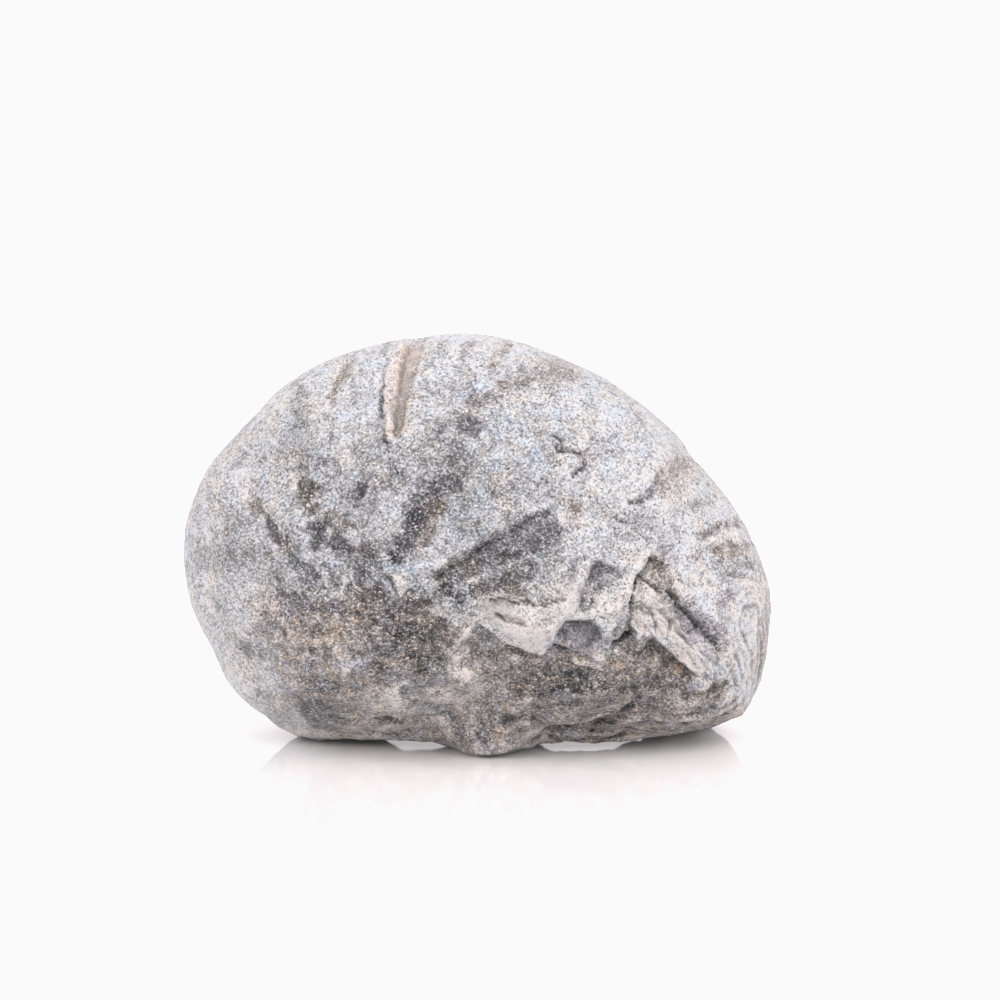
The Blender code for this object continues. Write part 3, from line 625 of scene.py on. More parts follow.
# ======================================================================================
# The stone's grain
# Fine roughness all over: low and sugary on the shell, coarser on the sediment, and in
# thin terraces where the stone is layered. It moves the surface in and out.
# ======================================================================================

# Beds follow the lower rim at the right; the thin layers of the plates follow their broken edge.
LOWER_RIM = (
    (440, 744), (500, 749), (560, 742), (640, 733), (700, 725), (730, 715), (748, 700), (757, 680),
    (756, 650), (752, 620),
)

mess = shaken(shaken(base, 2.6, 1.4, (11.0, 12.0, 13.0)), 0.9, 0.8, (14.0, 15.0, 16.0))
messy_drawing = drawn(mess + moved_by)
sediment = in_sediment(mess, messy_drawing, 1.6)
rim_gap = beside(LOWER_RIM, base)[0]
plate_gap, _, plate_left, _ = beside(BROKEN_EDGE, base)
on_plate = np.where(plate_left > -0.4, fade(plate_gap, 6.5, 4.5), 0.0)
at_right = fade(base[:, 0], -2.0, 12.0) * fade(base[:, 1], 6.0, -2.0)
bed = base[:, 2] + 0.15 * base[:, 0] + (rim_gap - base[:, 2]) * at_right
bed = np.where(on_plate > 0.5, plate_gap, bed)
layered = np.maximum(at_right * fade(rim_gap, 9.5, 3.5), (0.04 + 0.20 * at_right) * sediment)
layered = np.maximum(layered, 0.55 * on_plate)

# Each side of the ball lies flat on its own sixth of the unwrapped sheet, with a margin.
corners = np.empty(len(stone.loops), dtype=np.int64)
stone.loops.foreach_get("vertex_index", corners)
on_cube = cube_places[corners].reshape(-1, 4, 3)
middles = on_cube.mean(axis=1)
axis = np.argmax(np.abs(middles), axis=1)
side = 2 * axis + (np.take_along_axis(middles, axis[:, None], 1)[:, 0] > 0.0)
flat_axes = np.array(((1, 2), (0, 2), (0, 1)))[axis]
flat_places = np.take_along_axis(on_cube, flat_axes[:, None, :].repeat(4, axis=1), 2)
HALF_TILE = 0.485
tile = np.stack([side % 3, side // 3], axis=1)[:, None, :]
sheet = (0.5 + HALF_TILE * flat_places + tile) / (3.0, 2.0)
stone.uv_layers.new(name="OFBake").data.foreach_set("uv", sheet.astype(np.float32).ravel())


def keep(mesh, name, values):
    """Keeps a value for each point of the mesh, for the nodes to read."""
    store = mesh.attributes.new(name, "FLOAT", "POINT")
    store.data.foreach_set("value", values.astype(np.float32))


keep(stone, "sediment", sediment)
keep(stone, "layered", layered)
keep(stone, "bed", bed * MM)
stone.shade_smooth()
stone.update()


def put(tree, kind, inputs=(), **settings):
    """Adds a node with its settings; each input is a value, or the output it comes from."""
    node = tree.nodes.new(kind)
    for name, value in settings.items():
        setattr(node, name, value)
    for key, value in dict(inputs).items():
        if isinstance(value, bpy.types.NodeSocket):
            tree.links.new(value, node.inputs[key])
        else:
            node.inputs[key].default_value = value
    return node


def reckon(tree, operation, first, second=0.0, third=0.0, clamp=False):
    """One sum on two or three values."""
    inputs = {0: first, 1: second, 2: third}
    return put(tree, "ShaderNodeMath", inputs, operation=operation, use_clamp=clamp).outputs[0]


def product(tree, first, *others):
    """Values multiplied together."""
    for other in others:
        first = reckon(tree, "MULTIPLY", first, other)
    return first


def vector_times(tree, operation, vector, factor):
    """A vector scaled by one value, or multiplied by another vector part by part."""
    inputs = {0: vector, "Scale" if operation == "SCALE" else 1: factor}
    return put(tree, "ShaderNodeVectorMath", inputs, operation=operation).outputs[0]


grain_tree = bpy.data.node_groups.new("stone_grain", "GeometryNodeTree")
grain_node = partial(put, grain_tree)
grain_sum = partial(reckon, grain_tree)
face = grain_tree.interface
face.new_socket("Stone", in_out="INPUT", socket_type="NodeSocketGeometry")
GRAIN_SIZES = {
    "Shell grain size": 0.0009,
    "Shell grain height": 0.00014,
    "Sediment grain size": 0.0011,
    "Sediment grain height": 0.00022,
    "Bed thickness": 0.0007,
    "Bed height": 0.00052,
    "Bed wave size": 0.006,
    "Bed break size": 0.004,
    "Seed": 4.0,
}
for label, value in GRAIN_SIZES.items():
    face.new_socket(label, in_out="INPUT", socket_type="NodeSocketFloat").default_value = value
face.new_socket("Stone", in_out="OUTPUT", socket_type="NodeSocketGeometry")
given = grain_node("NodeGroupInput").outputs
# The grain is a little longer from front to back than it is high.
DRAWN_OUT = (1.0, 0.65, 1.0)
place = vector_times(grain_tree, "MULTIPLY", grain_node("GeometryNodeInputPosition").outputs[0], DRAWN_OUT)


def kept(name):
    """The value of this name that the stone's points hold."""
    store = grain_node("GeometryNodeInputNamedAttribute", {"Name": name}, data_type="FLOAT")
    return store.outputs["Attribute"]


def lumps(size, detail, seed):
    """Uneven ground of this grain size, from about -1 to 1."""
    inputs = {"Vector": place, "W": seed, "Detail": detail, "Roughness": 0.6}
    inputs["Scale"] = grain_sum("DIVIDE", 1.0, size)
    ground = grain_node("ShaderNodeTexNoise", inputs, noise_dimensions="4D").outputs[0]
    return grain_sum("MULTIPLY_ADD", ground, 2.0, -1.0)


sediment_here = kept("sediment")
shell_here = grain_sum("SUBTRACT", 1.0, sediment_here)
fine = lumps(given["Shell grain size"], 3.0, given["Seed"])
coarse = lumps(given["Sediment grain size"], 4.0, given["Seed"])
# Each bed has a number, and by its number it stands out or lies back, and is broken in its own way.
bed_wave = lumps(given["Bed wave size"], 2.0, given["Seed"])
bed_level = grain_sum("DIVIDE", kept("bed"), given["Bed thickness"])
bed_number = grain_sum("FLOOR", grain_sum("MULTIPLY_ADD", bed_wave, 1.6, bed_level))
stand_out = grain_node("ShaderNodeTexWhiteNoise", {"W": bed_number}, noise_dimensions="1D").outputs["Value"]
bed_breaks = lumps(given["Bed break size"], 2.0, bed_number)
terrace = grain_sum("ADD", grain_sum("MULTIPLY_ADD", stand_out, 1.2, -0.6), bed_breaks)
shell_part = product(grain_tree, fine, shell_here, given["Shell grain height"])
sediment_part = product(grain_tree, coarse, sediment_here, given["Sediment grain height"])
bed_part = product(grain_tree, terrace, kept("layered"), given["Bed height"])
height = grain_sum("ADD", grain_sum("ADD", shell_part, sediment_part), bed_part)
offset = vector_times(grain_tree, "SCALE", grain_node("GeometryNodeInputNormal").outputs[0], height)
moved = grain_node("GeometryNodeSetPosition", {"Geometry": given["Stone"], "Offset": offset})
whole = grain_node("GeometryNodeRealizeInstances", {"Geometry": moved.outputs[0]})
rock = bpy.data.materials.new("grainy_limestone")
faced = grain_node("GeometryNodeSetMaterial", {"Geometry": whole.outputs[0], "Material": rock})
grain_node("NodeGroupOutput", {"Stone": faced.outputs[0]})

rough_stone = bpy.data.objects.new("rough_stone", stone)
bpy.context.scene.collection.objects.link(rough_stone)
grain = rough_stone.modifiers.new("grain", "NODES")
grain.node_group = grain_tree
for item in face.items_tree:
    if item.in_out == "INPUT" and item.name in GRAIN_SIZES:
        grain[item.identifier] = GRAIN_SIZES[item.name]
graph = bpy.context.evaluated_depsgraph_get()
finished = bpy.data.meshes.new_from_object(rough_stone.evaluated_get(graph))
bpy.data.objects.remove(rough_stone)

# The resting spots are level where they touch the ground.
surface_points = read(finished.vertices, "co")
surface_points[:, 2] = np.maximum(surface_points[:, 2], 0.0)
finished.vertices.foreach_set("co", surface_points.ravel())
finished.update()
finished.name = "oyster_stone"
surface_points /= MM

# ======================================================================================
# The stone's markings
# Pale shell with dark fill in its furrows, brown-grey sediment, cream where the shell is broken, and
# rust, with painted shade in hollows, under ledges and along the foot, and painted light in places.
# Kept on the mesh's points: how light each is, and its tint.
# ======================================================================================

# Hues of the stone: how strong its red, green and blue are, beside its lightness.
NEUTRAL = (1.00, 1.00, 1.01)
GREY = (1.03, 1.00, 1.06)
WARM = (1.07, 1.00, 0.97)
EARTHY = (1.09, 1.00, 0.95)
BROWN = (1.12, 1.00, 0.88)
TAN = (1.10, 1.00, 0.93)
HONEY = (1.16, 1.00, 0.89)
CREAM = (1.06, 1.00, 0.95)
BLUISH = (0.98, 1.00, 1.05)
GREENISH = (1.01, 1.00, 0.93)
RUST = (1.38, 1.00, 0.62)

SHELL_LIGHTNESS = 0.805
SEDIMENT_LIGHTNESS = 0.560

# Dark strokes down the furrows at the back: half width at the start and end, strength.
BACK_STROKES = (
    (15, 10, 0.65), (12, 10, 0.70), (10, 15, 0.65), (10, 12, 0.60), (13, 10, 0.65), (9, 8, 0.50),
    (11, 11, 0.50),
)
# Strokes of colour on the shell. Each group has a lightness and a hue; each stroke has a line,
# its half width at the start and end in steps of the drawing, and a strength.
SHELL_SHADES = (
    (0.50, GREY, (
        # round the furrow at the far left
        (((300, 462), (302, 476)), 4, 6, 0.45),
        (((236, 460), (240, 461)), 5, 5, 0.5),
        (((322, 459), (324, 464)), 4, 4, 0.8),
        (((262, 510), (268, 518), (274, 528)), 4, 4, 0.85),
        (((355, 498), (356, 504)), 6, 6, 0.6),
        (((387, 440), (388, 446)), 4, 4, 0.9),
        (((384, 376), (381, 400), (382, 418)), 2, 2, 0.75),
        (((390, 343), (383, 356)), 3, 3, 0.6),
        (((443, 341), (440, 356)), 3, 3, 0.45),
        (((474, 341), (466, 350), (459, 360)), 3, 3, 0.5),
        # round the beak
        (((278, 574), (282, 592)), 3, 3, 0.75),
        (((289, 557), (313, 570)), 3, 3, 0.7),
        (((378, 568), (388, 576)), 4, 4, 0.7),
        # right of the wedge
        (((604, 544), (606, 547)), 5, 5, 0.4),
        (((632, 504), (642, 498), (652, 488)), 3, 3, 0.8),
        (((617, 519), (626, 523)), 3, 3, 0.6),
        # pits and scratches
        (((553, 437), (563, 441)), 3, 3, 0.95),
        (((558, 448), (571, 451), (581, 455)), 3, 3, 0.95),
        (((574, 476), (582, 466), (588, 460)), 2, 2, 0.8),
        (((588, 460), (598, 446), (614, 431)), 4, 5, 0.35),
        (((534, 404), (542, 406)), 3, 3, 0.6),
        (((494, 494), (500, 496)), 3, 3, 0.7),
        (((625, 412), (640, 403)), 4, 4, 0.5),
        (((636, 416), (642, 424)), 5, 5, 0.4),
        (((722, 611), (722, 626)), 4, 4, 0.6),
        (((205, 546), (213, 538)), 4, 4, 0.4),
        (((203, 515), (203, 521)), 3, 3, 0.3),
        # over the top and down the back
        *((furrow[0], *shade) for furrow, shade in zip(BACK_FURROWS, BACK_STROKES)),
    )),
    # paler grey patches on the shell
    (0.66, NEUTRAL, (
        (((200, 560), (232, 560), (262, 566)), 14, 18, 0.40),
        (((215, 600), (236, 630)), 12, 16, 0.35),
        (((408, 450), (436, 462)), 14, 14, 0.55),
        (((370, 425), (366, 460), (372, 500)), 9, 12, 0.30),
        (((414, 540), (440, 548)), 12, 10, 0.45),
        (((560, 500), (600, 512), (650, 520)), 12, 14, 0.35),
        (((655, 540), (690, 520), (712, 508)), 7, 6, 0.35),
        (((250, 470), (262, 500)), 7, 8, 0.30),
    )),
    (0.60, BROWN, (
        (((257, 474), (259, 477)), 4, 4, 0.5),
        (((282, 545), (293, 547)), 4, 4, 0.6),
        (((222, 531), (229, 528)), 4, 4, 0.6),
        (((604, 385), (616, 388)), 5, 5, 0.45),
        (((505, 386), (509, 389)), 5, 5, 0.6),
        (((392, 385), (393, 410), (397, 432)), 2, 3, 0.55),
    )),
    # cream: crumbly ridge, specks, broken rims
    (0.86, CREAM, (
        (((403, 345), (393, 364), (387, 388), (388, 412), (391, 437)), 4, 3, 0.85),
        (((412, 372), (406, 392)), 3, 2, 0.5),
        (((360, 551), (368, 555)), 4, 4, 0.6),
        (((396, 579), (399, 596)), 7, 5, 0.8),
        (((571, 398), (574, 406)), 4, 4, 0.5),
        (((566, 444), (570, 452)), 3, 3, 0.5),
    )),
)
# Stains with clear edges on the shell: corners on the drawing, lightness, hue, strength.
STAINS = (
    # furrow at the far left, from its pale top to its dark foot
    (((290, 384), (300, 380), (313, 402), (306, 424), (292, 420), (287, 400)), 0.62, NEUTRAL, 0.60),
    (((296, 478), (312, 477), (320, 490), (314, 503), (319, 512),
        (308, 514), (300, 503)), 0.50, BROWN, 0.80),
    (((308, 515), (320, 519), (326, 532), (318, 549), (309, 543), (305, 528)), 0.47, GREY, 0.85),
    (((322, 512), (345, 513), (352, 527), (348, 539), (335, 538), (326, 528)), 0.54, WARM, 0.80),
    (((317, 538), (345, 536), (357, 549), (350, 559), (335, 553), (320, 547)), 0.45, GREY, 0.90),
    (((318, 484), (328, 486), (330, 497), (320, 498)), 0.56, GREY, 0.60),
    # two short ones beside it, left and right
    (((248, 502), (257, 497), (266, 507), (263, 517), (252, 514), (246, 508)), 0.56, BROWN, 0.80),
    (((270, 525), (280, 529), (291, 545), (283, 551), (272, 541)), 0.50, WARM, 0.85),
    (((345, 361), (355, 366), (350, 377), (341, 385), (334, 400),
        (330, 399), (332, 386), (338, 373)), 0.58, BROWN, 0.80),
    (((354, 480), (366, 482), (369, 493), (362, 501), (352, 498)), 0.47, GREY, 0.90),
    (((382, 479), (392, 477), (389, 489), (380, 488)), 0.54, WARM, 0.65),
    (((394, 468), (404, 470), (402, 478), (393, 478)), 0.52, GREY, 0.70),
    # round the beak
    (((278, 589), (291, 593), (311, 596), (315, 607), (300, 609), (283, 604)), 0.45, GREY, 0.90),
    (((289, 557), (303, 563), (319, 574), (323, 590), (308, 592), (298, 578)), 0.56, GREY, 0.70),
    (((324, 562), (334, 565), (341, 580), (338, 592), (328, 581), (322, 570)), 0.52, GREY, 0.80),
    (((342, 588), (352, 586), (357, 598), (346, 601)), 0.44, GREY, 0.90),
    (((358, 542), (372, 539), (381, 552), (374, 563), (366, 556), (358, 552)), 0.50, WARM, 0.85),
    (((356, 560), (366, 556), (371, 572), (364, 585), (355, 584), (354, 572)), 0.46, GREY, 0.90),
    (((359, 586), (382, 581), (391, 592), (384, 602), (366, 603), (357, 596)), 0.47, WARM, 0.90),
    # long furrow to the upper right: from its top down
    (((496, 380), (515, 376), (535, 377), (534, 386), (515, 385), (500, 389)), 0.55, WARM, 0.80),
    (((466, 397), (480, 391), (500, 388), (503, 401), (488, 408), (470, 410)), 0.58, WARM, 0.80),
    (((455, 420), (468, 417), (482, 420), (483, 431), (468, 437), (456, 431)), 0.54, GREY, 0.85),
    (((437, 420), (446, 424), (445, 438), (438, 449), (434, 440)), 0.55, GREY, 0.75),
    (((449, 440), (464, 438), (470, 455), (470, 475), (460, 484),
        (451, 478), (447, 460)), 0.60, NEUTRAL, 0.80),
    (((418, 481), (438, 475), (461, 476), (462, 492),
        (446, 501), (432, 503), (413, 501)),
        0.48, GREY, 0.90),
    (((411, 500), (428, 498), (430, 530), (418, 532), (403, 531), (406, 514)), 0.45, GREY, 0.95),
    (((427, 498), (447, 500), (444, 514), (435, 530), (427, 531)), 0.53, BROWN, 0.85),
    (((403, 528), (420, 528), (415, 548), (404, 562),
        (392, 561), (385, 553), (395, 541)),
        0.45, GREY, 0.95),
    (((419, 528), (435, 527), (426, 545), (413, 553), (414, 540)), 0.56, WARM, 0.80),
    # wall of the trough, from its narrow top to its wide foot: its own grey-brown, darkened by painted
    # shade
    (((666, 592), (676, 590), (688, 602), (698, 612),
        (690, 622), (676, 616), (664, 604)),
        0.50, GREY, 0.85),
    (((688, 602), (698, 611), (708, 619), (716, 629),
        (708, 640), (698, 632), (688, 620)),
        0.46, GREY, 0.90),
    (((708, 622), (716, 629), (723, 635), (728, 647),
        (722, 655), (712, 648), (704, 638)),
        0.50, GREY, 0.85),
    (((664, 604), (678, 616), (692, 630), (700, 640), (694, 644),
        (680, 632), (668, 618)), 0.60, NEUTRAL, 0.75),
    # blades left of the crack's foot, and the bay
    (((604, 640), (611, 627), (620, 617), (628, 607), (628, 620),
        (621, 631), (612, 642), (605, 648)), 0.36, GREY, 0.90),
    (((562, 634), (572, 628), (586, 626), (600, 632), (604, 643),
        (598, 652), (578, 653), (560, 648)), 0.46, GREY, 0.80),
    (((598, 568), (612, 568), (624, 577), (629, 590),
        (622, 600), (606, 598), (600, 586)),
        0.62, GREY, 0.80),
    (((574, 590), (580, 583), (584, 594), (580, 606), (572, 608)), 0.58, GREY, 0.75),
    # planed facet at the right end
    (((764, 603), (771, 604), (772, 640), (766, 668), (757, 684),
        (755, 660), (757, 632), (759, 614)), 0.60, WARM, 0.85),
    # brown wall and the two chips beside the crack
    (((652, 557), (660, 560), (668, 566), (666, 575), (656, 574), (648, 566)), 0.52, GREY, 0.80),
    (((657, 575), (666, 576), (669, 586), (662, 590), (654, 584)), 0.62, WARM, 0.70),
    (((634, 628), (640, 629), (641, 639), (637, 641)), 0.66, BLUISH, 0.80),
    (((645, 612), (651, 615), (656, 624), (655, 632), (648, 624)), 0.64, BLUISH, 0.80),
    # wedge that opens to the right of the beak
    (((422, 577), (440, 562), (462, 552), (480, 546), (486, 560),
        (480, 578), (462, 583), (440, 577)), 0.54, WARM, 0.85),
    (((438, 571), (452, 567), (467, 575), (462, 584), (448, 582)), 0.47, GREY, 0.80),
    (((448, 556), (462, 550), (480, 546), (480, 553), (466, 558), (452, 561)), 0.48, GREY, 0.70),
    (((478, 550), (482, 538), (500, 527), (512, 520), (524, 536),
        (522, 556), (500, 561), (484, 567)), 0.48, GREY, 0.85),
    (((512, 520), (524, 514), (545, 511), (560, 518), (568, 533),
        (562, 541), (540, 552), (522, 557)), 0.50, GREY, 0.85),
    (((489, 578), (506, 571), (516, 561), (532, 560), (540, 566),
        (536, 577), (524, 583), (516, 594), (500, 591)),
        0.48, GREY, 0.85),
    (((468, 585), (490, 581), (502, 592), (490, 601), (474, 599)), 0.50, WARM, 0.85),
    (((502, 586), (522, 586), (530, 598), (512, 602)), 0.56, BROWN, 0.75),
    (((435, 586), (456, 584), (467, 592), (457, 601), (437, 599)), 0.52, NEUTRAL, 0.80),
    (((402, 592), (424, 593), (437, 600), (424, 609), (404, 607)), 0.46, WARM, 0.85),
    (((545, 551), (558, 540), (564, 556), (556, 572), (545, 566)), 0.62, NEUTRAL, 0.60),
    (((536, 598), (552, 595), (564, 600), (552, 606), (540, 606)), 0.60, WARM, 0.60),
    # shell at the right
    (((500, 342), (513, 339), (502, 353), (494, 365), (486, 371),
        (488, 359), (494, 350)), 0.58, BROWN, 0.80),
    (((534, 363), (556, 356), (579, 362), (583, 374),
        (570, 383), (550, 389), (533, 380)),
        0.66, WARM, 0.85),
    (((663, 466), (680, 451), (693, 460), (701, 472), (686, 481),
        (672, 493), (657, 494), (654, 478)), 0.66, TAN, 0.90),
    (((651, 476), (664, 473), (661, 485), (650, 483)), 0.56, WARM, 0.60),
    (((568, 508), (574, 500), (582, 504), (580, 517), (571, 519)), 0.56, BROWN, 0.80),
    (((611, 524), (628, 517), (644, 509), (659, 519), (661, 528), (640, 535),
        (630, 547), (616, 541), (607, 532)), 0.64, NEUTRAL, 0.75),
    (((651, 549), (664, 541), (677, 546), (680, 559), (668, 563), (656, 559)), 0.60, GREY, 0.85),
    (((676, 502), (700, 497), (713, 504), (700, 511), (682, 511)), 0.66, NEUTRAL, 0.70),
    # bands over the right end
    (((692, 535), (714, 525), (740, 517), (746, 523), (728, 529),
        (714, 533), (706, 544), (697, 546)), 0.55, WARM, 0.90),
    (((712, 553), (719, 546), (729, 543), (746, 544), (752, 549),
        (744, 556), (730, 556), (718, 559)), 0.50, BROWN, 0.90),
    (((690, 558), (702, 552), (714, 549), (714, 553), (702, 557), (693, 562)), 0.64, WARM, 0.80),
    (((711, 563), (732, 560), (754, 557), (758, 566), (750, 573),
        (732, 576), (714, 575)), 0.55, NEUTRAL, 0.85),
    (((715, 593), (724, 588), (738, 590), (736, 600), (724, 606), (716, 602)), 0.50, GREY, 0.85),
    (((743, 585), (760, 587), (771, 598), (762, 605), (748, 595)), 0.66, TAN, 0.85),
    (((757, 604), (769, 606), (769, 622), (759, 626)), 0.62, NEUTRAL, 0.75),
)
# Strokes laid last, where the shell is broken and along its lower edge; among them painted shade and
# painted shadow in its recesses, under its ledges and along its foot, and a stroke of painted light.
BROKEN_SHADES = (
    (0.76, HONEY, (
        (((406, 352), (399, 370), (396, 392), (395, 424)), 4, 3, 0.80),
    )),
    (0.86, HONEY, (
        (((397, 356), (404, 346), (416, 345), (430, 338)), 3, 2, 0.75),
        (((398, 358), (391, 374), (388, 390), (388, 412), (391, 436)), 3, 3, 0.30),
    )),
    (0.86, CREAM, (
        # crest beside the planed facet, and pale beds between the bands
        (((765, 592), (757, 610), (751, 626), (748, 642), (749, 658), (751, 672)), 3, 2, 0.85),
        (((746, 532), (757, 540), (758, 548)), 4, 3, 0.70),
        (((708, 543), (722, 538), (738, 534)), 2, 3, 0.70),
        (((742, 582), (756, 578), (768, 584)), 3, 4, 0.80),
        (((723, 640), (731, 634), (735, 644)), 5, 5, 0.80),
        (((686, 606), (700, 610)), 2, 2, 0.50),
        # pale rims of the bay, the fold and the scoop
        (((560, 618), (572, 613), (588, 613), (600, 619)), 4, 4, 0.70),
        (((588, 588), (600, 592)), 4, 4, 0.60),
        (((552, 590), (560, 582), (564, 574)), 5, 4, 0.70),
        (((590, 598), (600, 600)), 5, 5, 0.60),
        (((636, 612), (638, 626), (640, 636)), 3, 3, 0.80),
        (((641, 572), (646, 582), (652, 588)), 4, 3, 0.70),
        (((664, 578), (671, 588), (676, 594)), 4, 3, 0.60),
        (((496, 612), (516, 630), (538, 645)), 13, 9, 0.85),
        (((506, 606), (530, 618), (548, 628)), 10, 12, 0.60),
        (((553, 624), (559, 612), (570, 594)), 6, 9, 0.80),
        (((458, 628), (464, 640), (462, 650)), 6, 6, 0.60),
        (((438, 608), (456, 614), (478, 617)), 5, 5, 0.55),
        (((562, 622), (572, 604), (580, 585), (586, 567)), 5, 5, 0.75),
        (((604, 606), (618, 602), (627, 586), (633, 574)), 8, 5, 0.80),
        (((633, 574), (642, 562), (655, 545)), 5, 5, 0.75),
        (((633, 604), (641, 615), (648, 626), (655, 635)), 5, 4, 0.80),
        (((656, 610), (668, 626), (682, 646), (700, 670)), 8, 7, 0.95),
        (((716, 640), (722, 652), (716, 664)), 6, 6, 0.60),
        (((632, 588), (645, 597), (660, 604)), 5, 5, 0.75),
        (((677, 596), (668, 604)), 3, 3, 0.5),
        (((611, 633), (620, 619), (628, 606)), 3, 3, 0.6),
        (((647, 574), (657, 587)), 2, 2, 0.6),
        (((655, 571), (664, 585)), 2, 2, 0.6),
        (((716, 662), (706, 672)), 6, 5, 0.6),
        (((693, 694), (712, 682)), 3, 3, 0.7),
        (((746, 700), (752, 680), (753, 655), (756, 630), (762, 604)), 3, 3, 0.70),
    )),
    # the bay's side below the lip, the scoop's steep edges and the trough's wall: partly their own grey,
    # partly painted shade
    (0.50, GREY, (
        (((564, 640), (580, 637), (598, 642)), 6, 7, 0.60),
        (((548, 650), (553, 639), (559, 629)), 4, 5, 0.85),
        (((587, 570), (582, 583), (578, 594)), 3, 3, 0.50),
        (((596, 566), (610, 570)), 5, 5, 0.5),
        (((667, 592), (684, 604), (700, 616), (714, 629), (723, 642)), 6, 7, 0.80),
        (((682, 616), (696, 630), (708, 644)), 6, 6, 0.40),
    )),
    # painted light along the inside of the bay's top edge, where the relief shades it
    (0.70, NEUTRAL, (
        (((566, 623), (580, 620), (594, 624), (601, 632)), 4, 4, 0.85),
    )),
    (0.62, BLUISH, (
        (((634, 629), (642, 640)), 4, 4, 0.8),
        (((650, 614), (656, 626)), 3, 3, 0.6),
        (((612, 638), (622, 626), (629, 614)), 4, 4, 0.7),
    )),
    (0.50, BROWN, (
        (((644, 574), (652, 585), (659, 591), (672, 591), (679, 598)), 2, 2, 0.85),
        (((651, 562), (662, 574), (666, 584)), 6, 5, 0.6),
        (((497, 615), (505, 619), (515, 620), (524, 623)), 2, 2, 0.7),
        (((490, 602), (512, 603), (545, 602), (563, 599)), 2, 2, 0.6),
    )),
    # pale beds and dark partings along the lower right edge
    (0.78, CREAM, (
        (((566, 734), (600, 732), (640, 727), (690, 716), (730, 707)), 1, 1, 0.85),
        (((600, 716), (650, 713), (700, 706), (738, 694)), 1, 1, 0.75),
        (((668, 703), (700, 699), (726, 692), (746, 680)), 2, 1, 0.80),
        (((700, 692), (716, 684), (728, 672)), 2, 2, 0.70),
        (((512, 712), (522, 706), (530, 698)), 1, 2, 0.85),
        (((458, 660), (447, 650), (436, 639)), 2, 1, 0.90),
        (((372, 704), (373, 714), (375, 724)), 1, 1, 0.80),
        (((505, 662), (520, 662), (536, 659)), 1, 1, 0.75),
        (((355, 694), (368, 690), (378, 685)), 1, 1, 0.60),
        (((400, 733), (425, 736), (450, 740)), 1, 1, 0.70),
    )),
    (0.52, BROWN, (
        (((735, 636), (736, 660), (728, 684)), 1, 1, 0.60),
        (((745, 636), (744, 664), (738, 690)), 1, 1, 0.60),
        (((757, 640), (756, 668), (750, 696)), 1, 1, 0.60),
    )),
    # painted shadow along the fold and along the foot of the stone, with dark partings between beds
    (0.36, BROWN, (
        (((590, 731), (614, 719), (632, 706), (641, 698)), 2, 1, 0.80),
        (((545, 740), (600, 739), (650, 732), (690, 725)), 1, 1, 0.60),
        (((560, 724), (600, 722), (650, 719), (700, 712)), 1, 1, 0.60),
        (((650, 708), (690, 703), (720, 697)), 1, 1, 0.60),
        (((692, 694), (710, 690), (724, 683)), 3, 2, 0.65),
        (((382, 722), (396, 721), (406, 723)), 3, 2, 0.60),
        (((385, 733), (395, 735)), 3, 3, 0.60),
        (((568, 668), (590, 671), (605, 673)), 1, 1, 0.80),
        (((385, 738), (430, 741), (455, 748), (480, 753), (510, 751)), 2, 2, 0.55),
        (((510, 751), (540, 743), (600, 739), (650, 734), (700, 727)), 2, 2, 0.55),
    )),
    # painted shadow under the broken edge; the same dark fills the crack beside the plates
    (0.30, BROWN, (
        (((632, 646), (642, 646), (652, 649), (664, 655), (676, 661)), 4, 4, 0.80),
        (((678, 662), (690, 672)), 3, 2, 0.55),
        (((653, 556), (644, 567), (638, 578), (635, 589)), 2, 2, 0.8),
        (((631, 597), (629, 606), (629, 616), (629, 628)), 2, 2, 0.6),
    )),
)
# Strokes of colour on the sediment.
SEDIMENT_SHADES = (
    (0.46, WARM, (
        (((380, 640), (410, 646), (440, 650)), 12, 14, 0.55),
        (((430, 625), (452, 632), (472, 641)), 8, 8, 0.55),
        (((310, 703), (342, 726)), 14, 13, 0.50),
        (((500, 668), (545, 688), (600, 706)), 15, 16, 0.60),
        (((600, 690), (650, 684), (696, 696)), 12, 8, 0.50),
        (((540, 672), (600, 690)), 9, 8, 0.5),
        (((520, 725), (560, 735), (600, 728)), 10, 8, 0.45),
        (((374, 720), (386, 717), (401, 720)), 2, 2, 0.85),
        (((570, 667), (582, 669), (593, 671)), 2, 2, 0.8),
        # painted shadow under the fold
        (((640, 701), (620, 716), (600, 728)), 3, 3, 0.7),
        (((232, 642), (250, 655)), 6, 6, 0.4),
        (((215, 601), (222, 609)), 4, 4, 0.5),
        # painted shadow under the shell lip
        (((500, 640), (520, 654), (546, 660)), 4, 4, 0.7),
    )),
    (0.74, CREAM, (
        (((445, 668), (466, 676), (480, 690)), 12, 9, 0.60),
        (((450, 692), (476, 706)), 8, 7, 0.50),
        (((575, 660), (590, 667)), 4, 4, 0.8),
        (((600, 647), (599, 661)), 6, 5, 0.85),
        (((508, 656), (517, 661)), 4, 3, 0.5),
        (((343, 668), (347, 672)), 4, 4, 0.7),
        (((375, 628), (378, 632)), 3, 3, 0.7),
        (((262, 690), (276, 716)), 12, 10, 0.45),
        (((693, 706), (712, 692)), 4, 3, 0.5),
    )),
    (0.66, TAN, (
        (((318, 636), (346, 644)), 15, 13, 0.50),
        (((280, 622), (300, 630)), 9, 9, 0.40),
        (((410, 618), (430, 612)), 7, 7, 0.40),
        (((480, 722), (500, 735)), 10, 8, 0.35),
    )),
    (0.68, GREENISH, (
        (((376, 692), (392, 706), (407, 712)), 12, 9, 0.55),
    )),
    (0.80, BLUISH, (
        (((395, 684), (397, 697)), 2, 2, 0.7),
        (((410, 686), (408, 697)), 2, 2, 0.6),
    )),
    (0.42, BLUISH, (
        (((402, 687), (403, 695)), 4, 4, 0.75),
    )),
)
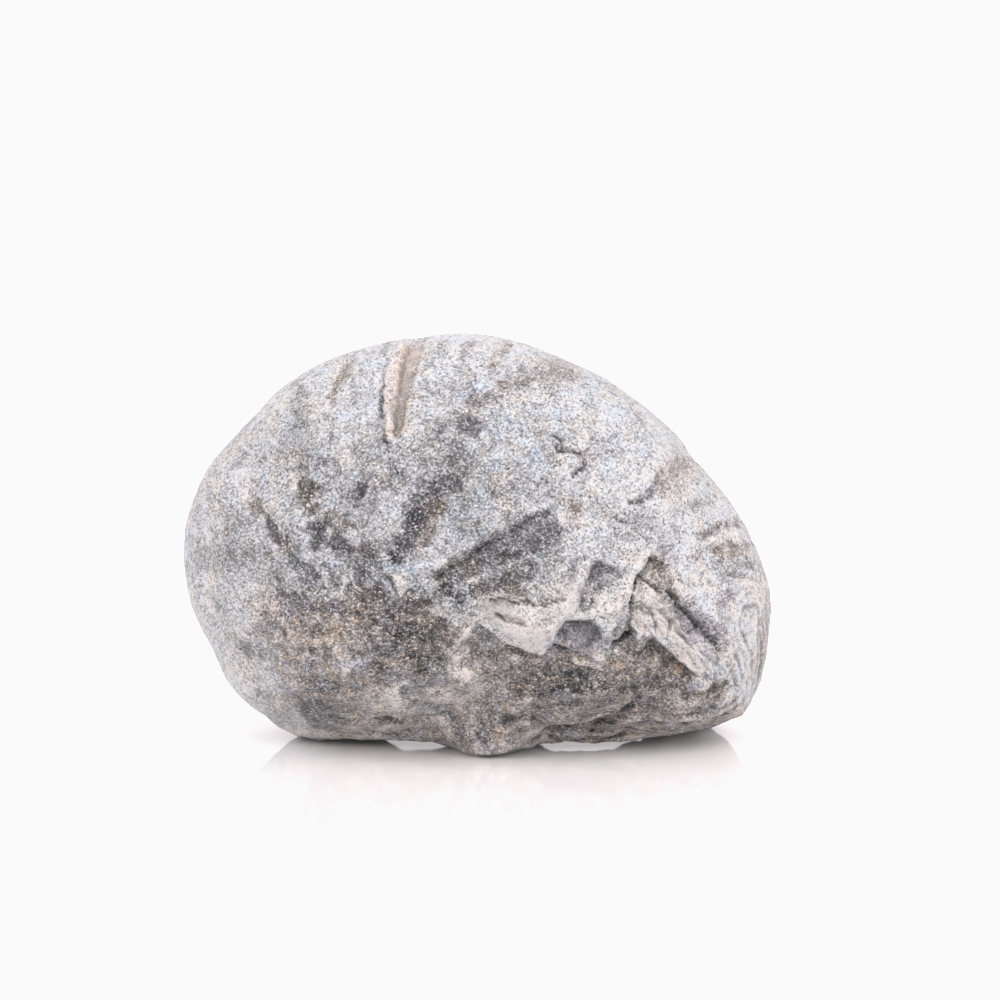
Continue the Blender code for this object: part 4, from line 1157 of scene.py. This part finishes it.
# Bits of shell and stone in the sediment, its pits, and painted shadow under the lip and the fold, as the
# stains are given.
INCLUSIONS = (
    # pale fan and the crumbly patch below it
    (((447, 676), (453, 665), (461, 662), (470, 668), (480, 674),
        (478, 679), (468, 680), (458, 677)), 0.76, CREAM, 0.70),
    (((441, 690), (452, 682), (470, 681), (482, 680), (492, 686),
        (488, 694), (476, 697), (448, 700)), 0.68, CREAM, 0.55),
    (((463, 684), (470, 682), (472, 692), (465, 696)), 0.50, BLUISH, 0.70),
    (((487, 690), (492, 692), (490, 698), (485, 696)), 0.46, BROWN, 0.70),
    # grey disc with a pale middle, left of the fan
    (((428, 664), (436, 660), (443, 664), (445, 674), (440, 680),
        (430, 679), (425, 672)), 0.50, BLUISH, 0.75),
    (((431, 666), (436, 667), (436, 672), (431, 671)), 0.70, CREAM, 0.70),
    # splinter of shell and the hollow below it
    (((508, 709), (516, 704), (524, 703), (531, 698), (530, 703),
        (522, 709), (516, 713)), 0.84, CREAM, 0.85),
    (((503, 716), (508, 713), (516, 716), (514, 721), (506, 720)), 0.34, GREY, 0.85),
    (((503, 724), (509, 722), (512, 730), (506, 732)), 0.78, CREAM, 0.70),
    (((456, 728), (464, 726), (466, 734), (458, 736)), 0.44, GREY, 0.70),
    (((442, 712), (452, 712), (460, 717), (452, 720)), 0.46, GREY, 0.65),
    # pale strips under the shell lip and along the lower edge, and a painted shadow right under the lip
    (((503, 665), (516, 661), (534, 658), (548, 659), (540, 662), (520, 666)), 0.72, TAN, 0.65),
    (((511, 655), (520, 655), (522, 659), (512, 660)), 0.82, CREAM, 0.75),
    (((503, 646), (516, 647), (530, 653), (530, 658), (516, 655)), 0.42, BROWN, 0.80),
    (((526, 733), (540, 729), (560, 731), (560, 735), (534, 737)), 0.76, CREAM, 0.70),
    (((583, 660), (593, 664), (595, 668), (586, 667)), 0.84, CREAM, 0.80),
    # greenish patch with the small lens
    (((373, 692), (386, 689), (396, 684), (404, 682), (411, 686),
        (404, 702), (396, 709), (380, 709)), 0.70, GREENISH, 0.70),
    (((402, 683), (407, 679), (410, 684), (405, 685)), 0.84, NEUTRAL, 0.80),
    (((398, 691), (401, 686), (407, 684), (411, 687), (406, 693), (400, 696)), 0.40, BLUISH, 0.95),
    (((401, 691), (404, 687), (408, 687), (405, 691)), 0.70, BLUISH, 0.85),
    # slit and pit below it
    (((377, 721), (386, 718), (400, 719), (403, 722), (390, 724), (380, 726)), 0.34, GREY, 0.90),
    (((375, 729), (384, 725), (394, 725), (402, 730), (394, 728), (384, 728)), 0.74, CREAM, 0.70),
    (((382, 731), (390, 729), (396, 731), (394, 736), (385, 736)), 0.42, BROWN, 0.85),
    # left of the lens
    (((374, 626), (380, 627), (379, 632), (373, 631)), 0.88, CREAM, 0.85),
    (((341, 668), (346, 666), (350, 672), (345, 678), (340, 676)), 0.82, CREAM, 0.80),
    (((300, 639), (312, 637), (322, 642), (318, 648), (306, 644)), 0.72, TAN, 0.65),
    (((313, 656), (322, 657), (321, 661), (314, 660)), 0.76, BLUISH, 0.65),
    (((322, 622), (340, 620), (352, 630), (344, 640), (328, 638)), 0.62, BROWN, 0.55),
    (((300, 703), (316, 699), (330, 705), (338, 716),
        (334, 728), (318, 730), (306, 722)),
        0.44, GREY, 0.75),
    (((362, 640), (384, 638), (402, 641), (404, 652), (390, 658), (368, 654)), 0.46, GREY, 0.70),
    (((404, 620), (420, 622), (432, 630), (436, 640), (420, 645), (408, 636)), 0.45, WARM, 0.65),
    (((352, 668), (364, 664), (380, 660), (380, 665), (366, 670), (354, 674)), 0.43, GREY, 0.75),
    (((404, 660), (422, 663), (425, 674), (410, 677)), 0.46, WARM, 0.60),
    (((328, 660), (340, 662), (339, 670), (329, 668)), 0.46, BLUISH, 0.65),
    (((334, 682), (343, 684), (344, 696), (335, 694)), 0.48, BLUISH, 0.60),
    # pale and dark spots towards the left edge
    (((240, 641), (250, 641), (255, 652), (246, 657), (238, 652)), 0.50, BLUISH, 0.75),
    (((254, 688), (261, 689), (263, 698), (257, 696)), 0.50, GREY, 0.75),
    (((236, 660), (254, 658), (262, 670), (258, 684), (246, 688)), 0.76, CREAM, 0.50),
    (((262, 686), (272, 688), (274, 699), (264, 699)), 0.72, NEUTRAL, 0.65),
    (((280, 704), (290, 706), (298, 716), (296, 724), (284, 720)), 0.72, NEUTRAL, 0.65),
    # right half
    (((558, 672), (572, 668), (590, 670), (591, 676), (570, 678)), 0.38, BLUISH, 0.80),
    (((550, 682), (560, 680), (565, 687), (554, 691)), 0.42, GREY, 0.75),
    (((618, 665), (628, 664), (634, 669), (630, 678), (620, 677)), 0.68, TAN, 0.55),
    (((636, 680), (643, 684), (636, 689), (630, 686)), 0.42, GREY, 0.75),
    # painted shadow under the fold
    (((592, 734), (604, 724), (618, 716), (630, 706), (638, 702),
        (636, 708), (624, 716), (612, 726)), 0.38, BROWN, 0.85),
    (((588, 719), (600, 715), (612, 713), (619, 707), (620, 711), (606, 718)), 0.72, CREAM, 0.75),
    (((640, 701), (656, 700), (657, 708), (642, 709)), 0.44, GREY, 0.65),
    (((664, 698), (676, 696), (686, 701), (680, 707), (666, 706)), 0.72, GREENISH, 0.75),
    (((672, 664), (682, 663), (685, 669), (676, 673)), 0.64, RUST, 0.50),
    (((692, 695), (704, 688), (716, 682), (728, 679), (727, 685),
        (712, 693), (698, 699)), 0.42, BROWN, 0.90),
    (((722, 694), (730, 692), (732, 702), (723, 703)), 0.76, TAN, 0.75),
)
# Rust spots: place, radius in steps.
RUST_SPOTS = (
    ((340, 632), 6), ((330, 672), 6), ((416, 647), 5), ((422, 667), 6), ((365, 608), 5),
    ((560, 680), 7), ((675, 667), 5), ((507, 388), 5), ((280, 462), 5), ((228, 532), 4),
    ((350, 655), 4), ((395, 622), 5), ((300, 660), 5), ((455, 640), 4), ((520, 672), 4),
    ((600, 712), 4), ((480, 700), 4), ((362, 690), 4), ((430, 690), 4), ((540, 700), 5),
)
# Lightness and hue of each of the flat breaks, in their order. The scoop's darker upper part and the
# trough's wall are their own grey with painted shade on them, and the last, under the plates, is a
# painted shadow.
BREAK_SHADES = (
    (0.74, HONEY), (0.70, HONEY), (0.62, NEUTRAL), (0.80, NEUTRAL), (0.62, NEUTRAL), (0.84, CREAM),
    (0.46, GREY), (0.66, BLUISH), (0.46, WARM), (0.60, BROWN), (0.82, CREAM), (0.76, WARM),
    (0.74, WARM), (0.84, CREAM), (0.60, GREY), (0.72, GREY), (0.48, WARM), (0.56, WARM), (0.46, BROWN),
)
# Soft patches where the shell and the sediment are painted darker (below 0) or lighter: partly
# the stone's own tone, partly painted shade and painted light laid over the relief's own shading.
# Place, half width and half height in steps of the drawing, change in lightness.
TONE_AND_SHADE_PATCHES = (
    # the crest, the ridge and its slot
    ((530, 374), 34, 11, -0.09), ((460, 384), 12, 12, -0.06), ((272, 400), 24, 18, 0.03),
    ((418, 400), 10, 40, -0.06), ((460, 400), 16, 24, -0.05), ((340, 368), 14, 10, 0.06),
    ((380, 395), 24, 16, 0.03), ((500, 355), 24, 10, 0.05), ((280, 400), 16, 16, 0.05),
    ((410, 358), 7, 13, 0.05), ((430, 352), 8, 6, -0.07), ((421, 384), 6, 10, -0.08),
    ((491, 371), 8, 7, 0.08), ((506, 390), 14, 8, -0.06),
    # left end
    ((298, 490), 26, 40, -0.08), ((304, 578), 30, 30, -0.10), ((256, 524), 28, 24, -0.05),
    ((244, 436), 28, 28, 0.03), ((293, 460), 10, 22, -0.06), ((312, 437), 8, 10, -0.06),
    ((310, 545), 30, 40, 0.01), ((222, 600), 18, 60, -0.03), ((246, 550), 26, 14, -0.08),
    ((225, 560), 16, 16, -0.06), ((268, 544), 10, 10, -0.07), ((228, 600), 12, 24, -0.06),
    ((256, 605), 10, 14, 0.06), ((306, 556), 20, 14, -0.07), ((244, 444), 14, 14, 0.06),
    # the furrows left of and above the beak
    ((395, 607), 42, 13, -0.11), ((436, 588), 34, 16, -0.11), ((408, 515), 12, 24, -0.10),
    ((386, 476), 20, 16, -0.06), ((352, 530), 14, 14, -0.08), ((365, 562), 16, 16, -0.06),
    ((330, 500), 60, 70, -0.075), ((385, 480), 40, 50, -0.05), ((355, 580), 40, 24, -0.07),
    ((412, 410), 5, 13, -0.07), ((370, 445), 14, 40, 0.05), ((360, 450), 8, 9, 0.05),
    ((427, 438), 12, 11, 0.05), ((420, 472), 14, 12, 0.05), ((430, 580), 8, 7, -0.10),
    ((421, 550), 7, 6, -0.08), ((411, 510), 6, 6, 0.08), ((334, 538), 12, 12, 0.10),
    ((388, 566), 14, 8, -0.10), ((426, 574), 12, 8, -0.10), ((434, 540), 12, 12, 0.09),
    ((424, 508), 10, 12, 0.09), ((437, 488), 8, 6, 0.12),
    # the wedge, and the long furrow over it
    ((455, 508), 30, 24, -0.10), ((476, 535), 20, 14, -0.08), ((535, 470), 24, 18, -0.05),
    ((515, 498), 30, 26, -0.04), ((510, 572), 30, 14, -0.05), ((562, 440), 12, 10, -0.06),
    ((570, 412), 28, 14, 0.03), ((445, 450), 40, 50, -0.08), ((480, 520), 50, 36, -0.06),
    ((500, 470), 40, 40, -0.04), ((540, 555), 34, 26, -0.08), ((490, 580), 30, 20, -0.06),
    ((543, 425), 8, 9, 0.07), ((580, 465), 7, 8, 0.06), ((574, 435), 8, 7, -0.04),
    ((572, 522), 12, 8, -0.11), ((560, 489), 10, 8, -0.06), ((505, 522), 10, 7, -0.09),
    ((529, 511), 8, 6, -0.10), ((465, 492), 10, 8, 0.09), ((486, 549), 9, 7, 0.09),
    ((534, 560), 18, 7, -0.07), ((545, 580), 9, 6, -0.09), ((520, 596), 22, 6, -0.05),
    ((460, 572), 14, 8, 0.10), ((502, 568), 18, 7, -0.10), ((514, 538), 20, 10, 0.12),
    ((466, 505), 9, 6, -0.09), ((472, 538), 8, 8, -0.10), ((546, 517), 10, 6, 0.10),
    ((564, 560), 10, 8, -0.05),
    # right end, with the broken shell
    ((660, 553), 12, 12, -0.10), ((640, 515), 14, 11, -0.05), ((735, 556), 14, 9, -0.04),
    ((700, 525), 46, 24, 0.05), ((622, 392), 46, 24, 0.05), ((690, 482), 24, 18, 0.05),
    ((745, 612), 18, 36, 0.04), ((708, 577), 12, 10, 0.06), ((600, 410), 40, 24, 0.04),
    ((655, 440), 24, 24, 0.04), ((690, 540), 60, 30, 0.05), ((640, 560), 24, 40, 0.05),
    ((641, 634), 13, 13, 0.12), ((690, 600), 20, 16, 0.05), ((730, 620), 24, 16, 0.07),
    ((560, 635), 20, 12, 0.07), ((622, 478), 24, 8, -0.07), ((690, 612), 9, 9, 0.07),
    ((762, 645), 6, 24, 0.04), ((726, 634), 9, 10, 0.09), ((742, 630), 9, 14, 0.07),
    ((690, 655), 7, 8, -0.07), ((636, 640), 16, 14, 0.09), ((714, 651), 9, 9, -0.09),
    ((674, 614), 9, 12, -0.08),
    # the sediment at the left, up to the shell lip
    ((221, 625), 17, 24, 0.06), ((238, 690), 17, 18, 0.05), ((262, 641), 15, 18, -0.07),
    ((286, 690), 20, 16, -0.07), ((316, 715), 18, 11, -0.06), ((438, 665), 8, 11, -0.08),
    ((345, 686), 14, 11, -0.05), ((470, 608), 26, 12, -0.13), ((405, 635), 32, 22, -0.09),
    ((286, 700), 30, 16, -0.05), ((390, 705), 26, 16, 0.10), ((450, 705), 42, 24, 0.09),
    ((360, 735), 60, 8, 0.07), ((460, 672), 10, 10, 0.07), ((447, 722), 12, 12, 0.06),
    ((415, 670), 26, 20, -0.09), ((416, 700), 14, 22, -0.07), ((305, 700), 26, 14, -0.07),
    ((405, 625), 24, 12, -0.06), ((380, 738), 28, 7, 0.08), ((399, 690), 10, 10, 0.12),
    ((450, 694), 15, 11, 0.06), ((345, 668), 9, 7, 0.06), ((375, 656), 9, 7, 0.05),
    # the sediment at the right
    ((575, 684), 40, 13, -0.13), ((630, 692), 28, 11, -0.07), ((520, 718), 24, 8, -0.06),
    ((628, 716), 24, 8, -0.05), ((578, 727), 24, 7, -0.06), ((505, 640), 24, 10, 0.05),
    ((715, 680), 30, 24, -0.06), ((545, 705), 30, 14, -0.05), ((520, 639), 14, 6, 0.06),
    ((600, 720), 8, 6, 0.08), ((580, 706), 16, 8, -0.07), ((590, 686), 16, 6, -0.06),
    ((650, 660), 8, 6, -0.08), ((684, 664), 7, 9, 0.06), ((490, 700), 60, 40, -0.015),
    ((532, 728), 14, 8, 0.07), ((482, 742), 22, 7, -0.05), ((756, 688), 9, 10, -0.08),
    ((726, 686), 9, 6, -0.09), ((518, 660), 24, 6, 0.05), ((530, 732), 16, 6, 0.08),
    ((672, 664), 14, 10, 0.07), ((638, 672), 22, 12, -0.07), ((686, 673), 12, 12, 0.10),
    ((726, 703), 16, 9, 0.07),
)
# Smooth worn places: line, half width at its start and end in steps, how smooth.
SMOOTH_PLACES = (
    (((420, 349), (407, 368), (401, 396), (398, 430)), 12, 5, 1.0),
    (((496, 612), (516, 628), (538, 642)), 14, 12, 1.0),
    (((548, 634), (562, 606), (576, 584)), 9, 9, 0.6),
    (((570, 628), (588, 640)), 14, 14, 0.7),
    (((656, 608), (680, 640), (702, 670)), 10, 10, 0.5),
    (((766, 606), (758, 640), (757, 680)), 6, 6, 0.8),
    (((330, 372), (380, 352), (430, 342), (500, 346)), 6, 6, 0.5),
)

lightness = np.full(len(base), SHELL_LIGHTNESS)
tint = np.tile(NEUTRAL, (len(base), 1)).astype(float)


def paint(cover, shade, hue):
    """Lays a colour over the stone, as strongly as the cover says."""
    global lightness, tint
    lightness = lightness + cover * (shade - lightness)
    tint = tint + cover[:, None] * (np.array(hue) - tint)


def warm(amount, blue=1.0):
    """Makes the stone redder by this amount, and less blue by as much or more."""
    global tint
    tint = tint + amount[:, None] * (1.0, 0.0, -blue)


# A stroke whose two half widths come to no more than this is a narrow one.
NARROW = 7
# How much wider than its width a stroke spreads, what share of that is soft edge, and the
# narrowest soft edge in millimetres.
SPREAD = 1.25
EDGE_SHARE = 0.9
NARROWEST_EDGE = 0.5


def lay(groups, patchiness):
    """Paints groups of strokes; narrow ones follow their lines more closely than broad ones."""
    for shade, hue, table in groups:
        cover = np.zeros(len(base))
        for places, start_width, end_width, strength in table:
            narrow = start_width + end_width <= NARROW
            distance, along, _, _ = beside(places, crisp if narrow else mess)
            width = SPREAD * STEP * (start_width + (end_width - start_width) * along)
            half = np.maximum(EDGE_SHARE * width, NARROWEST_EDGE) / 2.0
            cover = np.maximum(cover, strength * fade(distance, width + half, width - half))
        paint(np.clip(cover * patchiness, 0.0, 1.0), shade, hue)


def stain(table, softness, drawing, evenness):
    """Fills areas with colour: patchy where the evenness is 0, whole where it is 1."""
    for corners, shade, hue, strength in table:
        near, share, _ = area(corners, softness, drawing)
        cover = np.zeros(len(base))
        wear = patchiness[near] + evenness * (1.0 - patchiness[near])
        cover[near] = np.clip(strength * share * wear, 0.0, 1.0)
        paint(cover, shade, hue)


# Uneven colour all over, and streaks along the rays from the beak, which lies here in x and z.
patchiness = 0.95 + rough(base, 2.2, 0.55, 21.0) + rough(base, 0.8, 0.45, 22.0)
stained = shaken(shaken(base, 2.0, 0.8, (32.0, 33.0, 34.0)), 0.7, 0.9, (35.0, 36.0, 37.0))
stain_drawing = drawn(stained + moved_by)
BEAK = (-5.0, 24.5)
RAY_SPREAD = 5.5
RAY_STRETCH = 11.0
from_beak = base[:, [0, 2]] - BEAK
ray = np.arctan2(from_beak[:, 1], from_beak[:, 0])
length = np.linalg.norm(from_beak, axis=1)
rays = np.stack([RAY_SPREAD * np.cos(ray), RAY_SPREAD * np.sin(ray), length / RAY_STRETCH], axis=1)
streaks = rough(rays, 1.0, 0.10, 23.0) + rough(rays, 0.45, 0.07, 24.0)
clouding = rough(base, 8.0, 0.05, 25.0) + rough(base, 3.5, 0.062, 26.0) + rough(base, 1.4, 0.092, 27.0)
lightness += streaks * fade(length, 0.0, 12.0) + clouding
warm(rough(base, 4.0, 0.07, 38.0) + rough(base, 1.6, 0.08, 39.0) - 0.010, blue=1.2)
# both ends are a little warmer than the middle
warm(0.014 * fade(np.abs(base[:, 0]), 20.0, 34.0) - 0.005)

# The layers of colour, in the order in which they lie over each other.
BREAK_COVER = 0.85
RUST_COVER = 0.45
RUST_SHOWING = 0.35
lay(SHELL_SHADES, patchiness)
stain(STAINS, 3.5, stain_drawing, 0.0)
for (softness, corners), (shade, hue) in zip(BREAKS, BREAK_SHADES):
    near, share, _ = area(corners, softness, messy_drawing)
    cover = np.zeros(len(base))
    cover[near] = BREAK_COVER * share
    paint(cover, shade, hue)
paint(sediment, SEDIMENT_LIGHTNESS, EARTHY)
warm(sediment * (rough(base, 3.2, 0.10, 40.0) + rough(base, 1.2, 0.12, 41.0)), blue=1.4)
lightness += sediment * (0.5 * clouding + rough(base, 5.0, 0.05, 28.0))
lay(SEDIMENT_SHADES, patchiness)
stain(INCLUSIONS, 1.5, drawn(shaken(base, 0.8, 0.18, (42.0, 43.0, 44.0)) + moved_by), 0.8)
lay(BROKEN_SHADES, 0.5 + 0.5 * patchiness)
for place, radius in RUST_SPOTS:
    gap = np.linalg.norm(mess - base[spot(place)], axis=1) / (STEP * radius)
    paint(RUST_COVER * fade(gap, 1.5, 0.5), SEDIMENT_LIGHTNESS, RUST)
# soft patches of the stone's own tone, with painted shade and painted light among them
shade_patch_drawing = drawn(uneven + moved_by)
for place, half_width, half_height, change in TONE_AND_SHADE_PATCHES:
    away = (shade_patch_drawing - place) / (half_width, half_height)
    lightness += np.where(in_front, change * np.exp(-0.8 * np.sum(away**2, axis=1)), 0.0)
# rust comes through in small patches, mostly in the sediment
rusty = fade(rough(base, 2.0, 3.0, 29.0) + rough(base, 0.8, 1.5, 30.0), 1.1, 2.1)
paint(RUST_SHOWING * rusty * (0.15 + 0.85 * sediment), SEDIMENT_LIGHTNESS, RUST)

# Hollows are painted darker and rounded edges paler, following the relief: painted shade and painted light.
edges = np.empty(len(finished.edges) * 2, dtype=np.int64)
finished.edges.foreach_get("vertices", edges)
starts, ends = edges.reshape(-1, 2).T
facing = read(finished.vertex_normals, "vector")


def gathered(values):
    """For each point, the sum of a value over the points that edges join to it."""
    return np.bincount(starts, values[ends], len(base)) + np.bincount(ends, values[starts], len(base))


def evened(places, rounds):
    """The places averaged with their neighbours, again and again."""
    for _ in range(rounds):
        around = np.stack([gathered(column) for column in places.T], axis=1)
        places = 0.5 * places + 0.5 * around / neighbours[:, None]
    return places


neighbours = gathered(np.ones(len(base)))
nearly = evened(surface_points, 4)
softly = evened(nearly, 36)
pits = np.sum((nearly - surface_points) * facing, axis=1)
dips = np.sum((softly - surface_points) * facing, axis=1)
# painted shade in hollows, painted light on rounded edges
lightness -= np.clip(0.8 * pits, -0.10, 0.12) + np.clip(0.18 * dips, -0.05, 0.07)
lightness = np.clip(lightness, 0.18, 0.92)

calm = np.zeros(len(base))
for places, start_width, end_width, share in SMOOTH_PLACES:
    distance, along, _, _ = beside(places, uneven)
    width = STEP * (start_width + (end_width - start_width) * along)
    calm = np.maximum(calm, share * fade(distance, width + 0.4, width - 0.4))
keep(finished, "calm", calm)
keep(finished, "lightness", lightness)
tints = np.concatenate([tint, np.ones((len(base), 1))], axis=1).astype(np.float32)
finished.attributes.new("tint", "FLOAT_COLOR", "POINT").data.foreach_set("color", tints.ravel())

# ======================================================================================
# The stone's surface
# Dull limestone in salt-and-pepper grains about a quarter of a millimetre across, with
# streaks along its beds; its lightness and tint come from the markings. Sizes are in metres.
# ======================================================================================

rock.use_nodes = True
skin = rock.node_tree
skin.nodes.clear()
skin_node = partial(put, skin)
skin_sum = partial(reckon, skin)
here = vector_times(skin, "MULTIPLY", skin_node("ShaderNodeTexCoord").outputs["Object"], DRAWN_OUT)


def mark(name, output="Fac"):
    """The value of this name that the markings left on the stone."""
    return skin_node("ShaderNodeAttribute", attribute_name=name).outputs[output]


def clouds(size, detail=2.0, roughness=0.55, vector=here):
    """Soft random patches of this size, about evenly spread between -1 and 1."""
    inputs = {"Vector": vector, "Scale": 1.0 / size, "Detail": detail, "Roughness": roughness}
    return skin_sum("MULTIPLY_ADD", skin_node("ShaderNodeTexNoise", inputs).outputs[0], 8.0, -4.0)


def cells(spacing):
    """Three random values from 0 to 1 for each cell of a broken pattern."""
    cell = skin_node("ShaderNodeTexVoronoi", {"Vector": here, "Scale": 1.0 / spacing})
    return skin_node("ShaderNodeSeparateColor", {0: cell.outputs["Color"]}).outputs


def crystals(spacing):
    """A random value from -1.7 to 1.7 for each crystal."""
    return skin_sum("MULTIPLY_ADD", cells(spacing)[0], 3.4, -1.7)


def ranged(value, start, end, low=0.0, high=1.0):
    """Goes from low to high as the value goes from the start to the end."""
    return skin_node("ShaderNodeMapRange", {0: value, 1: start, 2: end, 3: low, 4: high}).outputs[0]


def threads(size, width, patch_size):
    """Thin curved lines, from 0 to 1, where soft patches of one size meet; they come and go in
    patches of another size."""
    line = ranged(skin_sum("ABSOLUTE", clouds(size, 3.0)), 0.0, width, 1.0, 0.0)
    return product(skin, line, skin_node("ShaderNodeClamp", {0: clouds(patch_size)}).outputs[0])


def sum_of(*parts):
    """Adds values, each times its share."""
    total = 0.0
    for share, value in parts:
        total = skin_sum("MULTIPLY_ADD", value, share, total)
    return total


# Crystals and grain, made lopsided: dark specks on pale stone, and pale ones on dark.
CRYSTAL = 0.00027
SMALL_CRYSTAL = 0.00018
fine_grain = clouds(0.00040, roughness=0.6)
middle_grain = clouds(0.0014, roughness=0.6)
crystal = crystals(CRYSTAL)
pepper = sum_of(
    (0.85, crystal), (0.55, crystals(SMALL_CRYSTAL)), (0.60, fine_grain), (0.32, middle_grain),
    (0.20, clouds(0.005)),
)
lean = skin_sum("MULTIPLY_ADD", mark("lightness"), -0.9, 0.62)
pepper_squared = product(skin, pepper, pepper)
pepper = skin_sum("ADD", pepper, product(skin, lean, skin_sum("SUBTRACT", pepper_squared, 1.0)))

# Streaks along the beds, five times as long as they are thick.
spread = skin_node("ShaderNodeSeparateXYZ", {0: here}).outputs
along_bed = {0: product(skin, spread[0], 0.2), 1: product(skin, spread[1], 0.2), 2: mark("bed")}
bed_place = skin_node("ShaderNodeCombineXYZ", along_bed).outputs[0]
streak = product(skin, clouds(0.0006, vector=bed_place), mark("layered"))

# In the sediment: pale and dark fragments, patches of fines, and thin scratches.
FRAGMENT = 0.0011
in_fill = mark("sediment")
fragment = cells(FRAGMENT)
pale_bits = ranged(fragment[0], 0.80, 0.90)
dark_bits = ranged(fragment[1], 0.82, 0.92)
scratches = threads(0.0060, 0.10, 0.004)
fibres = threads(0.0026, 0.13, 0.0031)
fines = clouds(0.0024, 3.0, 0.6)
fill = sum_of((0.100, pale_bits), (-0.095, dark_bits), (0.045, fines), (0.15, scratches), (0.12, fibres))

# The grain is weaker where the stone is worn smooth and where it is layered.
GRAIN_STRENGTH = 0.117
STREAK_STRENGTH = 0.095
DARKEST = 0.14
PALEST = 0.96
amplitude = skin_sum("MULTIPLY_ADD", in_fill, 0.003, GRAIN_STRENGTH)
amplitude = skin_sum("MULTIPLY_ADD", mark("calm"), -0.070, amplitude)
amplitude = skin_sum("MULTIPLY_ADD", mark("layered"), -0.035, amplitude)
level = sum_of(
    (1.0, mark("lightness")), (amplitude, pepper), (STREAK_STRENGTH, streak), (in_fill, fill),
)
level = skin_node("ShaderNodeClamp", {0: level, 1: DARKEST, 2: PALEST}).outputs[0]
# From lightness, as the eye sees it, to the share of light that the stone sends back.
EYE_CURVE = 2.2
BRIGHTEST_STONE = 0.58
level = product(skin, skin_sum("POWER", level, EYE_CURVE), BRIGHTEST_STONE)


def mixed(share, first, second, blend="MIX"):
    """Two colours mixed, or one laid over the other."""
    inputs = {0: share, 6: first, 7: second}
    return skin_node("ShaderNodeMix", inputs, data_type="RGBA", blend_type=blend).outputs[2]


hue_grain = skin_sum("MULTIPLY_ADD", clouds(0.0007, 1.0), 0.10, 0.5, clamp=True)
hue = mixed(hue_grain, (0.97, 1.0, 1.04, 1.0), (1.03, 1.0, 0.965, 1.0))
hue = mixed(1.0, hue, mark("tint", "Color"), "MULTIPLY")
colour = vector_times(skin, "SCALE", hue, level)

relief = sum_of((0.5, fine_grain), (0.35, crystal))
bump = skin_node("ShaderNodeBump", {"Strength": 0.6, "Distance": 0.00012, "Height": relief}).outputs[0]
dullness = ranged(pepper, -1.5, 2.0, 0.92, 0.62)
finish = {"Base Color": colour, "Roughness": dullness, "Normal": bump}
surface = skin_node("ShaderNodeBsdfPrincipled", finish)
surface.inputs["Specular IOR Level"].default_value = 0.3
surface.inputs["Sheen Weight"].default_value = 0.35
surface.inputs["Sheen Roughness"].default_value = 0.45
skin_node("ShaderNodeOutputMaterial", {0: surface.outputs[0]})

oyster = bpy.data.objects.new("oyster_stone", finished)
bpy.context.scene.collection.objects.link(oyster)
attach(oyster, "root")
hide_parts("fossil_oyster")

# ======================================================================================
# Floor, light and camera
# A smooth white floor in a tent of bright soft light, with a large soft lamp before the stone
# on each side, and a long lens.
# ======================================================================================

bpy.ops.mesh.primitive_plane_add(size=30.0, location=(0.0, 12.0, 0.0))
floor = bpy.context.object
floor.name = "white_floor"
white = bpy.data.materials.new("satin_white")
white.use_nodes = True
coat = white.node_tree.nodes["Principled BSDF"]
coat.inputs["Base Color"].default_value = (0.90, 0.90, 0.90, 1.0)
coat.inputs["Roughness"].default_value = 0.07
coat.inputs["Specular IOR Level"].default_value = 0.5
floor.data.materials.append(white)

SOFT_WHITE = (1.0, 0.955, 0.970)
tent = bpy.data.worlds.new("light_tent")
bpy.context.scene.world = tent
tent.use_nodes = True
glow = tent.node_tree.nodes["Background"]
glow.inputs["Color"].default_value = (*SOFT_WHITE, 1.0)
# the tent is brighter below than above
towards = put(tent.node_tree, "ShaderNodeTexCoord").outputs["Generated"]
upward = put(tent.node_tree, "ShaderNodeSeparateXYZ", {0: towards}).outputs[2]
strength = reckon(tent.node_tree, "MULTIPLY_ADD", upward, -0.65, 1.40)
tent.node_tree.links.new(strength, glow.inputs["Strength"])


def softbox(name, side, power):
    """A large soft lamp before the stone, half way up, to one side."""
    lamp = bpy.data.lights.new(name, "SUN")
    lamp.angle = math.radians(55.0)
    lamp.energy = power
    lamp.color = SOFT_WHITE
    stand = bpy.data.objects.new(name, lamp)
    stand.rotation_euler = Vector((-side, 0.60, -0.70)).to_track_quat("-Z", "Y").to_euler()
    bpy.context.scene.collection.objects.link(stand)


softbox("left_softbox", -0.7, 1.8)
softbox("right_softbox", 0.7, 2.1)

eye = bpy.data.cameras.new("camera")
eye.lens = 150.0
eye.sensor_width = 36.0
eye.clip_start = 0.01
eye.clip_end = 60.0
camera = bpy.data.objects.new("camera", eye)
camera.location = Vector((LOOK_AT + EYE_DISTANCE * TOWARDS_EYE) * MM)
camera.rotation_euler = Vector(-TOWARDS_EYE).to_track_quat("-Z", "Y").to_euler()
bpy.context.scene.collection.objects.link(camera)
bpy.context.scene.camera = camera
# the brightest white is kept a little below full brightness
view = bpy.context.scene.view_settings
view.view_transform = "Standard"
view.use_curve_mapping = True
brightness = view.curve_mapping.curves[3]
brightness.points[1].location = (1.0, 0.956)
view.curve_mapping.extend = "HORIZONTAL"
view.curve_mapping.update()
